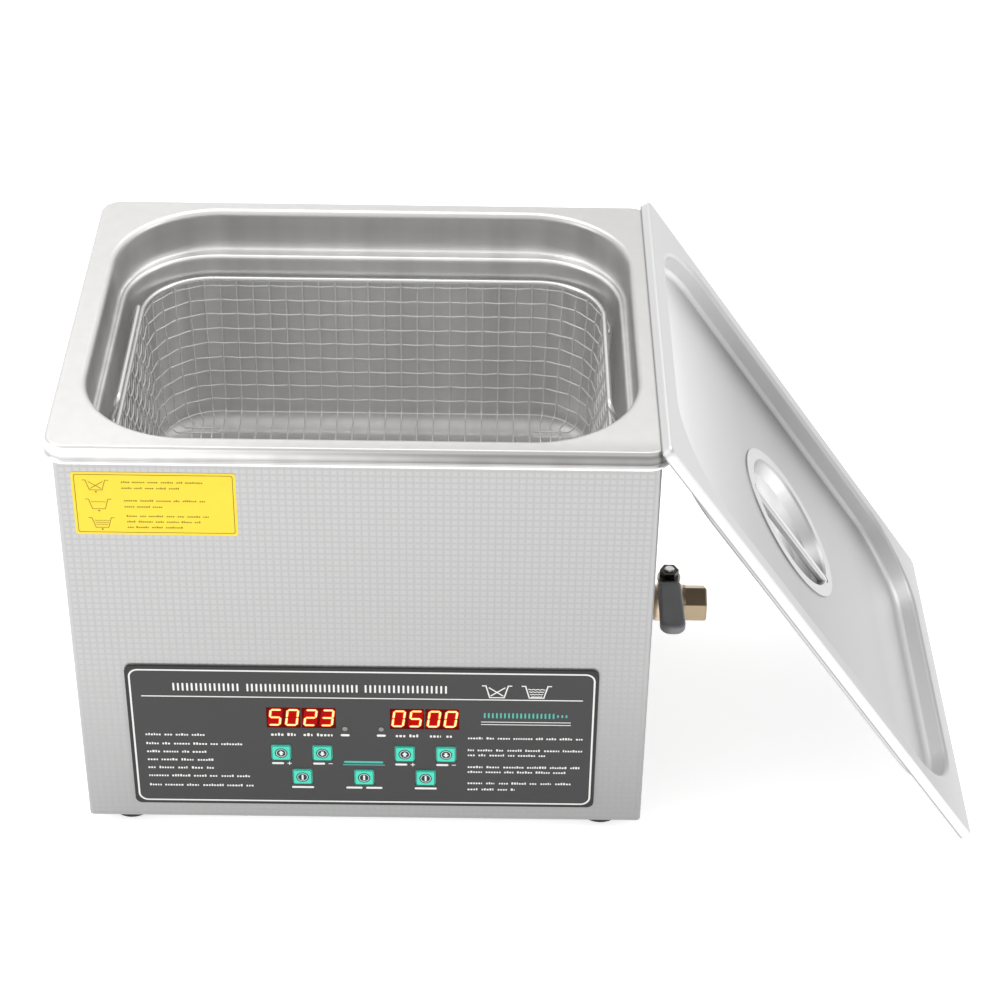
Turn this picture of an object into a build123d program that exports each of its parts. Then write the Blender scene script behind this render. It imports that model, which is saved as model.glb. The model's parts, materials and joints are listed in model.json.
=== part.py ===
from build123d import *
import math
import os

os.makedirs("parts", exist_ok=True)

# ---------------------------------------------------------------------------
# Benchtop ultrasonic cleaner, 10 litre class, with drain valve, wire basket
# and a loose lid leaning against its right side.
# Millimetres.  +X is to the operator's right, +Y to the back, +Z up.
# The origin is on the bench, under the centre of the body.
# ---------------------------------------------------------------------------

# --- rim and tank -----------------------------------------------------------
RIM_W, RIM_D = 330.0, 260.0          # outer size of the tank's flange
RIM_Z = 273.0                        # top of the flange above the bench
RIM_R = 12.0                         # plan corner radius of the flange
LIP_H = 10.6                         # turned-down lip of the flange
TANK_T = 1.0                         # tank sheet
OPEN_X, OPEN_Y, OPEN_R = 150.0, 118.5, 58.5     # upper tank, half sizes
LEDGE_Z = 247.0                      # ledge inside the tank
LOW_X, LOW_Y, LOW_R = 145.5, 110.0, 50.0        # lower tank, half sizes
TANK_FLOOR = 123.0                   # inside floor, 150 below the rim
FLOOR_R = 16.0

# --- housing ----------------------------------------------------------------
BODY_X, BODY_Y = 161.0, 126.0        # half sizes of the sheet housing
BODY_Z0, BODY_Z1 = 8.0, 268.0
SHEET = 0.8
FOOT_X, FOOT_Y = 138.0, 108.0
FOOT_R, FOOT_H = 10.0, 8.8

# --- drain ------------------------------------------------------------------
DRAIN_X = 106.0                      # drain hole in the tank floor
AXIS_Z = 71.0                        # centre line of pipe and ball valve
STEM_X = 180.0                       # valve stem
OUTLET_X = 203.5                     # end face of the valve
HEX_AF = 20.0                        # across flats of the valve's ends
OUTLET_R = 7.48                      # minor radius of the G 3/8 outlet
BALL_R = 8.0
STEM_R = 3.5

# --- basket -----------------------------------------------------------------
BASKET_X, BASKET_Y, BASKET_R = 137.5, 106.5, 40.0   # rim wire centre line
BASKET_Z = 233.0
BASKET_FLOOR = 138.0
BASKET_DRAFT = 5.0                   # how much each side leans in
RIM_WIRE = 1.5                       # radius of the rim and handle wires

# --- control panel ----------------------------------------------------------
PANEL_X = 133.0
PANEL_Z0, PANEL_Z1 = 19.0, 122.0
PANEL_T = 1.4
KEYS = {                             # centre x, z
    "key_temp_up": (-47.2, 59.1),
    "key_temp_down": (-23.6, 59.1),
    "key_heat_power": (-35.5, 40.8),
    "key_frequency": (0.0, 40.8),
    "key_time_up": (23.6, 59.1),
    "key_time_down": (47.2, 59.1),
    "key_timer_power": (35.5, 40.8),
}
KEY_W = 11.2
DISPLAYS = [-45.0, -25.0, 25.0, 45.0]
DISPLAY_W, DISPLAY_H, DISPLAY_Z = 19.2, 15.0, 85.4
LEDS = [(-10.3, 77.6), (10.3, 77.6)]

# --- lid --------------------------------------------------------------------
LID_L, LID_W, LID_R = 334.0, 265.6, 5.0
LID_SKIRT = 6.0
LID_T = 0.8
PAN_L, PAN_W, PAN_R = 153.0, 119.0, 50.0    # sunken panel, half sizes
PAN_DEPTH = 12.8
PAN_TAPER = 8.0                     # degrees
# from the vertical: the skirt of its upper end rests on top of the flange
LID_ANGLE = math.degrees(math.acos((RIM_Z + 0.3 - 0.05) / (LID_L - LID_T)))
CUP_R = 42.0

PARTS = {}


def add(name, *shapes):
    if len(shapes) == 1:
        PARTS[name] = shapes[0]
    else:
        PARTS[name] = Compound(children=[s for s in shapes])


def prism(w, d, r, z0, z1, taper=0.0):
    return Pos(0, 0, z0) * extrude(RectangleRounded(w, d, r), z1 - z0, taper=taper)


def block(x0, x1, y0, y1, z0, z1):
    return Pos((x0 + x1) / 2, (y0 + y1) / 2, (z0 + z1) / 2) \
        * Box(abs(x1 - x0), abs(y1 - y0), abs(z1 - z0))


MINZ = (Align.CENTER, Align.CENTER, Align.MIN)


def cyl_z(x, y, z0, z1, r):
    return Pos(x, y, z0) * Cylinder(r, z1 - z0, align=MINZ)


def cyl_x(x0, x1, y, z, r):
    return Pos(x0, y, z) * Rot(0, 90, 0) * Cylinder(r, x1 - x0, align=MINZ)


def cyl_y(x, y0, y1, z, r):
    return Pos(x, y0, z) * Rot(-90, 0, 0) * Cylinder(r, y1 - y0, align=MINZ)


def hex_x(x0, x1, y, z, af, spin=0.0):
    # hexagonal bar along X with two corners straight up and down
    side = extrude(Rot(0, 0, 30 + spin) * RegularPolygon(af / 2, 6, major_radius=False), x1 - x0)
    return Pos(x0, y, z) * Rot(0, 90, 0) * Rot(0, 0, 30) * side


def hex_z(x, y, z0, z1, af):
    return Pos(x, y, z0) * extrude(RegularPolygon(af / 2, 6, major_radius=False), z1 - z0)


def rod(path, r):
    return sweep(Plane(origin=path @ 0, z_dir=path % 0) * Circle(r), path=path)


def top_edges(shape):
    return shape.faces().sort_by(Axis.Z)[-1].outer_wire().edges()


def bottom_edges(shape):
    return shape.faces().sort_by(Axis.Z)[0].outer_wire().edges()


# ===========================================================================
# TANK: flange with turned-down lip, upper wall, ledge, lower wall, floor
# ===========================================================================
flange = prism(RIM_W, RIM_D, RIM_R, RIM_Z - LIP_H, RIM_Z)
flange = fillet(top_edges(flange), 1.6)
HEM = 1.1                            # the lip's lower edge is turned outwards
hem = prism(RIM_W + 2 * HEM, RIM_D + 2 * HEM, RIM_R + HEM, RIM_Z - LIP_H, RIM_Z - LIP_H + 2.2)
hem = chamfer(top_edges(hem), HEM - 0.1)
flange = flange + hem
upper_outer = prism(2 * (OPEN_X + TANK_T), 2 * (OPEN_Y + TANK_T), OPEN_R + TANK_T,
                    LEDGE_Z - TANK_T, RIM_Z - 0.5)
under = prism(RIM_W - 2 * TANK_T, RIM_D - 2 * TANK_T, RIM_R - TANK_T,
              RIM_Z - LIP_H - 1, RIM_Z - TANK_T)
under = fillet(top_edges(under), 0.8)
under = under - upper_outer
under = fillet(under.faces().sort_by(Axis.Z)[-1].inner_wires()[0].edges(), 2.5)
lower_outer = prism(2 * (LOW_X + TANK_T), 2 * (LOW_Y + TANK_T), LOW_R + TANK_T,
                    TANK_FLOOR - TANK_T, LEDGE_Z)
lower_outer = fillet(bottom_edges(lower_outer), FLOOR_R + TANK_T)
upper_in = prism(2 * OPEN_X, 2 * OPEN_Y, OPEN_R, LEDGE_Z, RIM_Z + 2)
upper_in = fillet(bottom_edges(upper_in), 2.0)
lower_in = prism(2 * LOW_X, 2 * LOW_Y, LOW_R, TANK_FLOOR, LEDGE_Z + 4)
lower_in = fillet(bottom_edges(lower_in), FLOOR_R)
tank = (flange - under) + upper_outer + lower_outer
tank = tank - upper_in
mouth = [e for e in tank.faces().sort_by(Axis.Z)[-1].inner_wires()[0].edges()]
tank = fillet(mouth, 3.5)
tank = tank - lower_in
step = [e for e in tank.edges() if abs(e.bounding_box().min.Z - LEDGE_Z) < 0.01
        and abs(e.bounding_box().max.Z - LEDGE_Z) < 0.01
        and max(abs(e.bounding_box().min.X), abs(e.bounding_box().max.X)) < LOW_X + 0.1
        and max(abs(e.bounding_box().min.Y), abs(e.bounding_box().max.Y)) < LOW_Y + 0.1]
tank = fillet(step, 2.0)             # rounded edge of the ledge
tank = tank - cyl_z(DRAIN_X, 0, TANK_FLOOR - 5, TANK_FLOOR + 5, 8.2)
add("tank", tank)

# rubber seal between the flange and the top of the housing
gasket = prism(2 * 159.5, 2 * 124.8, 8, BODY_Z1, RIM_Z - TANK_T) \
    - prism(2 * 155.0, 2 * 122.4, 4, BODY_Z1 - 1, RIM_Z)
add("rim_gasket", gasket)

# ===========================================================================
# HOUSING: folded sheet wrap with returns, separate back and base
# ===========================================================================
shell = prism(2 * BODY_X, 2 * BODY_Y, 2.6, BODY_Z0, BODY_Z1)
shell = shell - prism(2 * (BODY_X - SHEET), 2 * (BODY_Y - SHEET), 1.8,
                      BODY_Z0 + SHEET, BODY_Z1 - SHEET)
shell = shell - prism(2 * 153.5, 2 * 121.0, 4, BODY_Z1 - 5, BODY_Z1 + 5)
shell = shell - prism(2 * 152.0, 2 * 119.0, 4, BODY_Z0 - 5, BODY_Z0 + 5)
shell = shell - block(-148, 148, BODY_Y - 5, BODY_Y + 5, 22, 252)
shell = shell - block(-60, 60, -BODY_Y - 5, -BODY_Y + 5, 29, 96)      # control window
shell = shell - cyl_x(BODY_X - 5, BODY_X + 5, 0, AXIS_Z, 9.3)          # drain pipe hole
add("housing_shell", shell)

# screws that hold the base: heads below the bottom return
BASE_SCREWS = [(-156, -60), (-156, 60), (156, -60), (156, 60),
               (-70, -122.1), (70, -122.1), (-70, 122.1), (70, 122.1)]
base = prism(2 * 159.8, 2 * 124.8, 1.5, BODY_Z0 + SHEET, BODY_Z0 + SHEET + 1.2)
for x, y in BASE_SCREWS:
    base = base - cyl_z(x, y, 5, 12, 1.5)
for sx in (-1, 1):
    for sy in (-1, 1):
        base = base - cyl_z(sx * FOOT_X, sy * FOOT_Y, 5, 12, 2.0)
for i in range(9):                                                     # air slots
    base = base - block(-60 + i * 9, -56 + i * 9, -20, 20, 5, 12)
add("base_plate", base)
holes = [cyl_z(x, y, 5, 9.4, 1.5) for x, y in BASE_SCREWS]
for h in holes:
    shell = shell - h
PARTS["housing_shell"] = shell
screws = []
for x, y in BASE_SCREWS:
    head = cyl_z(x, y, 6.3, 8.0, 2.8)
    head = fillet(bottom_edges(head), 0.8) + cyl_z(x, y, 8.0, 13.0, 1.5)
    screws.append(head)
add("base_screws", *screws)

feet, foot_screws = [], []
for sx in (-1, 1):
    for sy in (-1, 1):
        x, y = sx * FOOT_X, sy * FOOT_Y
        f = Pos(x, y, FOOT_H - 1.2) * Rot(180, 0, 0) * extrude(Circle(FOOT_R + 2.2), FOOT_H - 1.2, taper=4)
        f = f + cyl_z(x, y, FOOT_H - 2.0, FOOT_H, FOOT_R)               # neck, up through the bottom return
        f = f - cyl_z(x, y, -1, 4.0, 4.2) - cyl_z(x, y, 3.0, 10, 2.0)
        feet.append(f)
        s = cyl_z(x, y, 1.4, 4.0, 3.6) + cyl_z(x, y, 4.0, 14.0, 2.0)
        s = s - block(x - 0.5, x + 0.5, y - 2.6, y + 2.6, 0, 2.4)
        foot_screws.append(s)
add("rubber_feet", *feet)
add("foot_screws", *foot_screws)

# back cover, outside the housing's rear return
rear = Pos(0, 0, 0) * block(-156, 156, BODY_Y, BODY_Y + 1.0, 13, 260)
INLET_X, INLET_Z = -104.0, 62.0
SWITCH_X, SWITCH_Z = -52.0, 62.0
FAN_X, FAN_Z = 82.0, 52.0
rear = rear - block(INLET_X - 14.2, INLET_X + 14.2, 120, 130, INLET_Z - 15.2, INLET_Z + 15.2)
rear = rear - block(SWITCH_X - 7.2, SWITCH_X + 7.2, 120, 130, SWITCH_Z - 10.2, SWITCH_Z + 10.2)
for i in range(-5, 6):
    half = math.sqrt(27.0 ** 2 - (i * 4.9) ** 2)
    rear = rear - block(FAN_X + i * 4.9 - 1.5, FAN_X + i * 4.9 + 1.5, 120, 130,
                        FAN_Z - half, FAN_Z + half)
for row in range(2):
    for i in range(22):
        x = -105 + i * 10
        rear = rear - block(x - 1.6, x + 1.6, 120, 130, 205 + row * 24, 222 + row * 24)
FAN_HOLES = [(FAN_X + sx * 25, FAN_Z + sz * 25) for sx in (-1, 1) for sz in (-1, 1)]
INLET_HOLES = [(INLET_X - 20, INLET_Z), (INLET_X + 20, INLET_Z)]
REAR_HOLES = [(-152, 20), (-152, 136), (-152, 254), (152, 20), (152, 136), (152, 254),
              (-50, 256.5), (50, 256.5)]
for x, z in FAN_HOLES + INLET_HOLES + REAR_HOLES:
    rear = rear - cyl_y(x, 120, 130, z, 1.6)
add("rear_panel", rear)
for x, z in REAR_HOLES:
    PARTS["housing_shell"] = PARTS["housing_shell"] - cyl_y(x, 120, 130, z, 1.6)


def screw_y(x, z, y_seat, length, r_head=3.0, head=1.8, r=1.5):
    # pan head outside, shank pointing to -Y
    h = cyl_y(x, y_seat, y_seat + head, z, r_head)
    h = fillet(h.faces().sort_by(Axis.Y)[-1].edges(), 0.8)
    s = h + cyl_y(x, y_seat - length, y_seat, z, r)
    return s - block(x - 2.0, x + 2.0, y_seat + head - 0.7, y_seat + head + 1, z - 0.35, z + 0.35) \
             - block(x - 0.35, x + 0.35, y_seat + head - 0.7, y_seat + head + 1, z - 2.0, z + 2.0)



# ===========================================================================
# ULTRASONIC DRIVERS under the tank floor
# ===========================================================================
DRIVERS = [(x, y) for x in (-84, 0, 62) for y in (-50, 50)]
Z0 = TANK_FLOOR - TANK_T             # underside of the tank floor
fronts, piezos, tabs, backs, bolts = [], [], [], [], []
for x, y in DRIVERS:
    fm = Pos(x, y, Z0) * Rot(180, 0, 0) * extrude(Circle(26), 18, taper=20)
    fm = fm - cyl_z(x, y, Z0 - 20, Z0 - 4, 5.0)
    fronts.append(fm)
    for k in (0, 1):
        zt = Z0 - 18 - 0.3 - k * 5.3
        piezos.append(cyl_z(x, y, zt - 5, zt, 19) - cyl_z(x, y, zt - 6, zt + 1, 7.5))
        tab = cyl_z(x, y, zt, zt + 0.3, 19) - cyl_z(x, y, zt - 1, zt + 1, 7.5)
        tab = tab + block(x + 18, x + 26, y - 3, y + 3, zt, zt + 0.3)
        tabs.append(tab)
    zb = Z0 - 18 - 10.6
    bm = cyl_z(x, y, zb - 20, zb, 19) - cyl_z(x, y, zb - 21, zb + 1, 5.2)
    bm = chamfer(bm.faces().sort_by(Axis.Z)[0].outer_wire().edges(), 1.5)
    backs.append(bm)
    bolt = cyl_z(x, y, zb - 20, Z0 - 5, 4.9) + cyl_z(x, y, zb - 28, zb - 20, 8.0)
    bolt = bolt - hex_z(x, y, zb - 29, zb - 23, 8.0)
    bolts.append(bolt)
add("transducer_front_masses", *fronts)
add("piezo_rings", *piezos)
add("electrode_tabs", *tabs)
add("transducer_back_masses", *backs)
add("transducer_bolts", *bolts)

# heaters and thermostat probe on the outside of the tank
pads = [block(-78, 78, s * (LOW_Y + TANK_T), s * (LOW_Y + TANK_T + 1.6), 142, 192) for s in (-1, 1)]
add("heater_pads", *pads)
probe = block(-(LOW_X + TANK_T + 5), -(LOW_X + TANK_T), -7, 7, 150, 172)
probe = fillet(probe.edges().filter_by(Axis.Z).sort_by(Axis.X)[:2], 2.0)
add("temperature_sensor", probe)

# ===========================================================================
# DRAIN: floor fitting, lock nut, elbow, ball valve
# ===========================================================================
fit = cyl_z(DRAIN_X, 0, TANK_FLOOR, TANK_FLOOR + 1.4, 13.0)
fit = fillet(top_edges(fit), 0.8)
fit = fit + cyl_z(DRAIN_X, 0, 100, TANK_FLOOR, 8.0)
fit = fit - cyl_z(DRAIN_X, 0, 99, TANK_FLOOR + 5, 6.0)
add("drain_fitting", fit)
add("drain_locknut", hex_z(DRAIN_X, 0, 115.5, Z0, 24.0) - cyl_z(DRAIN_X, 0, 110, 130, 8.0))
elbow = cyl_z(DRAIN_X, 0, AXIS_Z, 113.0, 10.6) + Pos(DRAIN_X, 0, AXIS_Z) * Sphere(10.6)
elbow = elbow + cyl_x(DRAIN_X, 158.0, 0, AXIS_Z, 10.6) + cyl_x(158.0, 161.6, 0, AXIS_Z, 8.2)
elbow = elbow - cyl_z(DRAIN_X, 0, 100, 120, 8.0) - cyl_z(DRAIN_X, 0, AXIS_Z, 105, 6.0)
elbow = elbow - Pos(DRAIN_X, 0, AXIS_Z) * Sphere(6.0) - cyl_x(DRAIN_X, 165, 0, AXIS_Z, 5.0)
add("drain_elbow", elbow)

CAP_X = 189.0
body = hex_x(161.6, 170.5, 0, AXIS_Z, HEX_AF)
body = chamfer(body.faces().sort_by(Axis.X)[0].edges(), 0.8)
barrel = cyl_x(170.5, CAP_X, 0, AXIS_Z, 11.2)
barrel = fillet(barrel.faces().sort_by(Axis.X)[0].edges(), 3.0)
body = body + barrel + cyl_z(STEM_X, 0, AXIS_Z, 88.0, 6.6)
body = body - cyl_x(150, 175, 0, AXIS_Z, 5.0)
body = body - cyl_x(171.3, CAP_X + 1, 0, AXIS_Z, 8.7)
body = body - cyl_z(STEM_X, 0, AXIS_Z, 95, STEM_R + 0.05)
add("valve_body", body)
cap = hex_x(CAP_X, OUTLET_X, 0, AXIS_Z, HEX_AF)
cap = chamfer(cap.faces().sort_by(Axis.X)[-1].edges(), 0.9)
cap = cap + cyl_x(187.2, CAP_X, 0, AXIS_Z, 8.7) + cyl_x(CAP_X, CAP_X + 1.6, 0, AXIS_Z, 11.2)
cap = cap - cyl_x(186, OUTLET_X + 1, 0, AXIS_Z, 5.0)
cap = cap - cyl_x(OUTLET_X - 11, OUTLET_X + 1, 0, AXIS_Z, OUTLET_R)
add("valve_end_cap", cap)
seats = []
for pts in ([(171.3, 5.2), (173.35, 5.2), (176.1, 7.95), (176.1, 8.65), (171.3, 8.65)],
            [(187.2, 5.2), (186.65, 5.2), (183.9, 7.95), (183.9, 8.65), (187.2, 8.65)]):
    seats.append(Pos(0, 0, AXIS_Z) * revolve(make_face(Plane.XZ * Polyline(pts, close=True)), axis=Axis.X))
add("valve_seats", *seats)
ball = Pos(STEM_X, 0, AXIS_Z) * Sphere(BALL_R)
ball = ball - cyl_y(STEM_X, -12, 12, AXIS_Z, 5.0)
ball = ball - block(STEM_X - 9, STEM_X + 9, -9, 9, AXIS_Z + 7.3, AXIS_Z + 9)
add("valve_ball", ball)
stem = cyl_z(STEM_X, 0, AXIS_Z + 7.3, 94.0, STEM_R) + cyl_z(STEM_X, 0, 94.0, 97.6, 3.0)
stem = chamfer(top_edges(stem), 0.6)
add("valve_stem", stem)
LEVER_Z0, LEVER_Z1 = 89.4, 91.4
lever = cyl_z(STEM_X, 0, LEVER_Z0, LEVER_Z1, 7.0)
lever = lever + block(STEM_X - 5.0, STEM_X + 5.0, -46.0, 0, LEVER_Z0, LEVER_Z1)
lever = lever - cyl_z(STEM_X, 0, 80, 100, STEM_R)
add("valve_lever", lever)
# vinyl sleeve over the lever arm
sleeve_plan = make_face(Polyline([(STEM_X - 6.9, -6.6), (STEM_X + 6.9, -6.6),
                                  (STEM_X + 7.7, -51.5), (STEM_X - 7.7, -51.5)], close=True))
sleeve = Pos(0, 0, 86.9) * extrude(sleeve_plan, 6.6)
upright = sleeve.edges().filter_by(Axis.Z).sort_by(Axis.Y)
sleeve = fillet(upright[:2], 6.6)
upright = sleeve.edges().filter_by(Axis.Z).sort_by(Axis.Y)
sleeve = fillet(upright[-2:], 2.6)
sleeve = fillet(sleeve.faces().sort_by(Axis.Z)[-1].outer_wire().edges(), 2.4)
sleeve = fillet(sleeve.faces().sort_by(Axis.Z)[0].outer_wire().edges(), 1.8)
sleeve = sleeve - PARTS["valve_lever"] - cyl_z(STEM_X, 0, 80, 100, 7.0)
add("lever_sleeve", sleeve)
nut = hex_z(STEM_X, 0, LEVER_Z1, 96.4, 10.0) - cyl_z(STEM_X, 0, 80, 110, STEM_R)
nut = nut + (cyl_z(STEM_X, 0, 94.0, 96.4, 4.2) - cyl_z(STEM_X, 0, 80, 110, 3.0))
add("lever_nut", nut)

# ===========================================================================
# ELECTRONICS in the bottom of the housing
# ===========================================================================
BOARD_Z = 20.0
gen = block(-140, -20, -62, 70, BOARD_Z, BOARD_Z + 1.6)
STANDS = [(-134, -56), (-26, -56), (-134, 64), (-26, 64)]
for x, y in STANDS:
    gen = gen - cyl_z(x, y, BOARD_Z - 2, BOARD_Z + 4, 1.6)
add("generator_board", gen)
stands = []
for x, y in STANDS:
    s = hex_z(x, y, 10.0, BOARD_Z, 6.0) + cyl_z(x, y, BOARD_Z, BOARD_Z + 1.6, 1.55)
    s = s + cyl_z(x, y, BOARD_Z + 1.6, BOARD_Z + 3.4, 2.8)
    stands.append(s)
sink = block(-134, -96, -46, 50, BOARD_Z + 1.6, BOARD_Z + 5.6)
for i in range(8):
    sink = sink + block(-134 + i * 5.1, -134 + i * 5.1 + 1.8, -46, 50, BOARD_Z + 5.6, BOARD_Z + 32)
add("heatsink", sink)
coil = block(-82, -48, -44, -10, BOARD_Z + 1.6, BOARD_Z + 6)
coil = coil + block(-80, -50, -42, -12, BOARD_Z + 6, BOARD_Z + 30)
coil = fillet(coil.edges().filter_by(Axis.Z), 3.0)
caps = []
for x, y, r, h in ((-84, 20, 9, 32), (-62, 20, 9, 32), (-84, 44, 8, 26), (-62, 44, 8, 26), (-38, 30, 6, 22)):
    c = cyl_z(x, y, BOARD_Z + 1.6, BOARD_Z + 1.6 + h, r)
    caps.append(fillet(c.edges(), 1.0))
add("generator_components", coil, *caps)

# cooling fan on the back cover
fan = block(FAN_X - 30, FAN_X + 30, 111.0, 126.0, FAN_Z - 30, FAN_Z + 30)
fan = fillet(fan.edges().filter_by(Axis.Y), 4.0)
fan = fan - cyl_y(FAN_X, 100, 130, FAN_Z, 28.2)
fan = fan + cyl_y(FAN_X, 111.0, 113.0, FAN_Z, 14.0)
for a in (45, 135, 225, 315):
    strut = Pos(FAN_X, 112.0, FAN_Z) * Rot(0, a, 0) * Pos(21, 0, 0) * Box(16.5, 2.0, 2.4)
    fan = fan + strut
fan = fan - cyl_y(FAN_X, 100, 130, FAN_Z, 1.55)
for x, z in FAN_HOLES:
    fan = fan - cyl_y(x, 100, 130, z, 1.6)
add("fan_frame", fan)
rotor = cyl_y(FAN_X, 113.6, 124.0, FAN_Z, 13.0) + cyl_y(FAN_X, 111.2, 113.6, FAN_Z, 1.5)
for i in range(7):
    blade = Box(13.6, 9.0, 1.2)
    blade = Pos(FAN_X, 118.8, FAN_Z) * Rot(0, i * 360 / 7, 0) * Pos(19.4, 0, 0) * Rot(35, 0, 0) * blade
    rotor = rotor + blade
add("fan_rotor", rotor)

# mains inlet with fuse drawer, and power switch
inl = block(INLET_X - 25, INLET_X + 25, 127.0, 129.4, INLET_Z - 16.5, INLET_Z + 16.5)
inl = fillet(inl.edges().filter_by(Axis.Y), 5.0)
inl = inl + block(INLET_X - 14, INLET_X + 14, 101, 127.0, INLET_Z - 15, INLET_Z + 15)
inl = inl - block(INLET_X - 12, INLET_X + 12, 111, 131, INLET_Z - 3.2, INLET_Z + 12.8)     # socket
inl = inl - block(INLET_X - 11, INLET_X + 11, 104, 131, INLET_Z - 13.2, INLET_Z - 5.2)     # drawer
for x, z in INLET_HOLES:
    inl = inl - cyl_y(x, 120, 131, z, 1.6)
pins = [block(INLET_X + dx - 1, INLET_X + dx + 1, 96, 125, INLET_Z + dz - 2, INLET_Z + dz + 2)
        for dx, dz in ((-7, 3.2), (7, 3.2), (0, 7.4))]
for p in pins:
    inl = inl - p
add("power_inlet", inl, *pins)
draw = block(INLET_X - 10.8, INLET_X + 10.8, 106, 129.4, INLET_Z - 13.0, INLET_Z - 5.4)
draw = draw + block(INLET_X - 6, INLET_X + 6, 129.4, 129.9, INLET_Z - 11.4, INLET_Z - 10.4)
draw = draw - block(INLET_X - 12, INLET_X + 8.5, 108.5, 127.0, INLET_Z - 11.8, INLET_Z - 4)
add("fuse_drawer", draw)
fuse = cyl_x(INLET_X - 10.3, INLET_X + 8.3, 117.5, INLET_Z - 8.6, 2.6)
add("fuse", fuse)
add("rear_screws", *([screw_y(x, z, 127.0, 6.0) for x, z in REAR_HOLES]
                     + [screw_y(x, z, 127.0, 17.0) for x, z in FAN_HOLES]
                     + [screw_y(x, z, 129.4, 10.0, 2.9, 1.3) for x, z in INLET_HOLES]))

sw = block(SWITCH_X - 9.5, SWITCH_X + 9.5, 127.0, 128.6, SWITCH_Z - 12.5, SWITCH_Z + 12.5)
sw = fillet(sw.edges().filter_by(Axis.Y), 1.5)
sw = sw + block(SWITCH_X - 7.0, SWITCH_X + 7.0, 106, 127.0, SWITCH_Z - 10.0, SWITCH_Z + 10.0)
sw = sw - block(SWITCH_X - 5.9, SWITCH_X + 5.9, 114, 131, SWITCH_Z - 8.9, SWITCH_Z + 8.9)
add("switch_frame", sw)
# rocker pivots about an X axis; it rests with its lower half pressed in
rock = make_face(Polyline([(-8.2, 0.0), (8.2, 0.0), (8.2, 5.0), (0.0, 3.2), (-8.2, 5.0)], close=True))
rock = extrude(rock, 5.5, both=True)
rock = rock + Cylinder(2.4, 11.0)
# local x -> Z, local y -> Y, local z -> X
rock = Plane(origin=(SWITCH_X, 122.6, SWITCH_Z), x_dir=(0, 0, 1), z_dir=(1, 0, 0)) * rock
rock = rock.rotate(Axis((SWITCH_X, 122.6, SWITCH_Z), (1, 0, 0)), -7.0)
add("power_rocker", rock)

# ===========================================================================
# CONTROL PANEL, keys, displays and control board
# ===========================================================================
YF = -BODY_Y
panel = block(-PANEL_X, PANEL_X, YF - PANEL_T, YF, PANEL_Z0, PANEL_Z1)
panel = fillet(panel.edges().filter_by(Axis.Y), 4.0)
for x in DISPLAYS:
    panel = panel - block(x - DISPLAY_W / 2 - 0.1, x + DISPLAY_W / 2 + 0.1, YF - 5, YF + 5,
                          DISPLAY_Z - DISPLAY_H / 2 - 0.1, DISPLAY_Z + DISPLAY_H / 2 + 0.1)
for x, z in LEDS:
    panel = panel - cyl_y(x, YF - 5, YF + 5, z, 1.6)
for x, z in KEYS.values():
    panel = panel - block(x - KEY_W / 2 - 0.3, x + KEY_W / 2 + 0.3, YF - 5, YF + 5,
                          z - KEY_W / 2 - 0.3, z + KEY_W / 2 + 0.3)
add("front_panel", panel)
add("display_windows", *[block(x - DISPLAY_W / 2, x + DISPLAY_W / 2, YF - PANEL_T + 0.2, YF - 0.1,
                               DISPLAY_Z - DISPLAY_H / 2, DISPLAY_Z + DISPLAY_H / 2) for x in DISPLAYS])
mods = [block(x - 9.5, x + 9.5, YF - 0.1, YF + 8.0, DISPLAY_Z - 7.4, DISPLAY_Z + 7.4) for x in DISPLAYS]
add("display_modules", *mods)
leds = [cyl_y(x, YF - PANEL_T - 0.3, YF + 8.0, z, 1.5) for x, z in LEDS]
add("indicator_lights", *leds)
for name, (x, z) in KEYS.items():
    k = block(x - KEY_W / 2, x + KEY_W / 2, YF - PANEL_T - 0.7, YF + 0.8, z - KEY_W / 2, z + KEY_W / 2)
    k = fillet(k.edges().filter_by(Axis.Y), 1.4)
    k = fillet(k.faces().sort_by(Axis.Y)[0].outer_wire().edges(), 0.35)
    k = k + block(x - KEY_W / 2 - 1.2, x + KEY_W / 2 + 1.2, YF + 0.9 - 0.1, YF + 1.7,
                  z - KEY_W / 2 - 1.2, z + KEY_W / 2 + 1.2)
    add(name, k)
BOARD_Y = YF + 8.0
ctl = block(-57.5, 57.5, BOARD_Y, BOARD_Y + 1.6, 30.5, 94.5)
add("control_board", ctl)
tacts = []
for x, z in KEYS.values():
    t = block(x - 3, x + 3, YF + 4.2, BOARD_Y, z - 3, z + 3) + cyl_y(x, YF + 2.9, YF + 4.2, z, 1.7)
    tacts.append(t)
add("tact_switches", *tacts)
brackets = []
for s in (-1, 1):
    # angle that holds the board, welded behind the housing front
    b = block(s * 57.6 - 0, s * 57.6 + s * 1.2, BOARD_Y - 6.0, BOARD_Y + 4.0, 33, 92) \
        if s > 0 else block(-58.8, -57.6, BOARD_Y - 6.0, BOARD_Y + 4.0, 33, 92)
    c = block(58.8, 70, BOARD_Y - 7.2, BOARD_Y - 6.0, 33, 92) if s > 0 \
        else block(-70, -58.8, BOARD_Y - 7.2, BOARD_Y - 6.0, 33, 92)
    d = block(57.6, 58.8, BOARD_Y - 7.2, BOARD_Y - 6.0, 33, 92) if s > 0 \
        else block(-58.8, -57.6, BOARD_Y - 7.2, BOARD_Y - 6.0, 33, 92)
    brackets.append(b + c + d)
add("board_mounts", *brackets, *stands)

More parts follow.
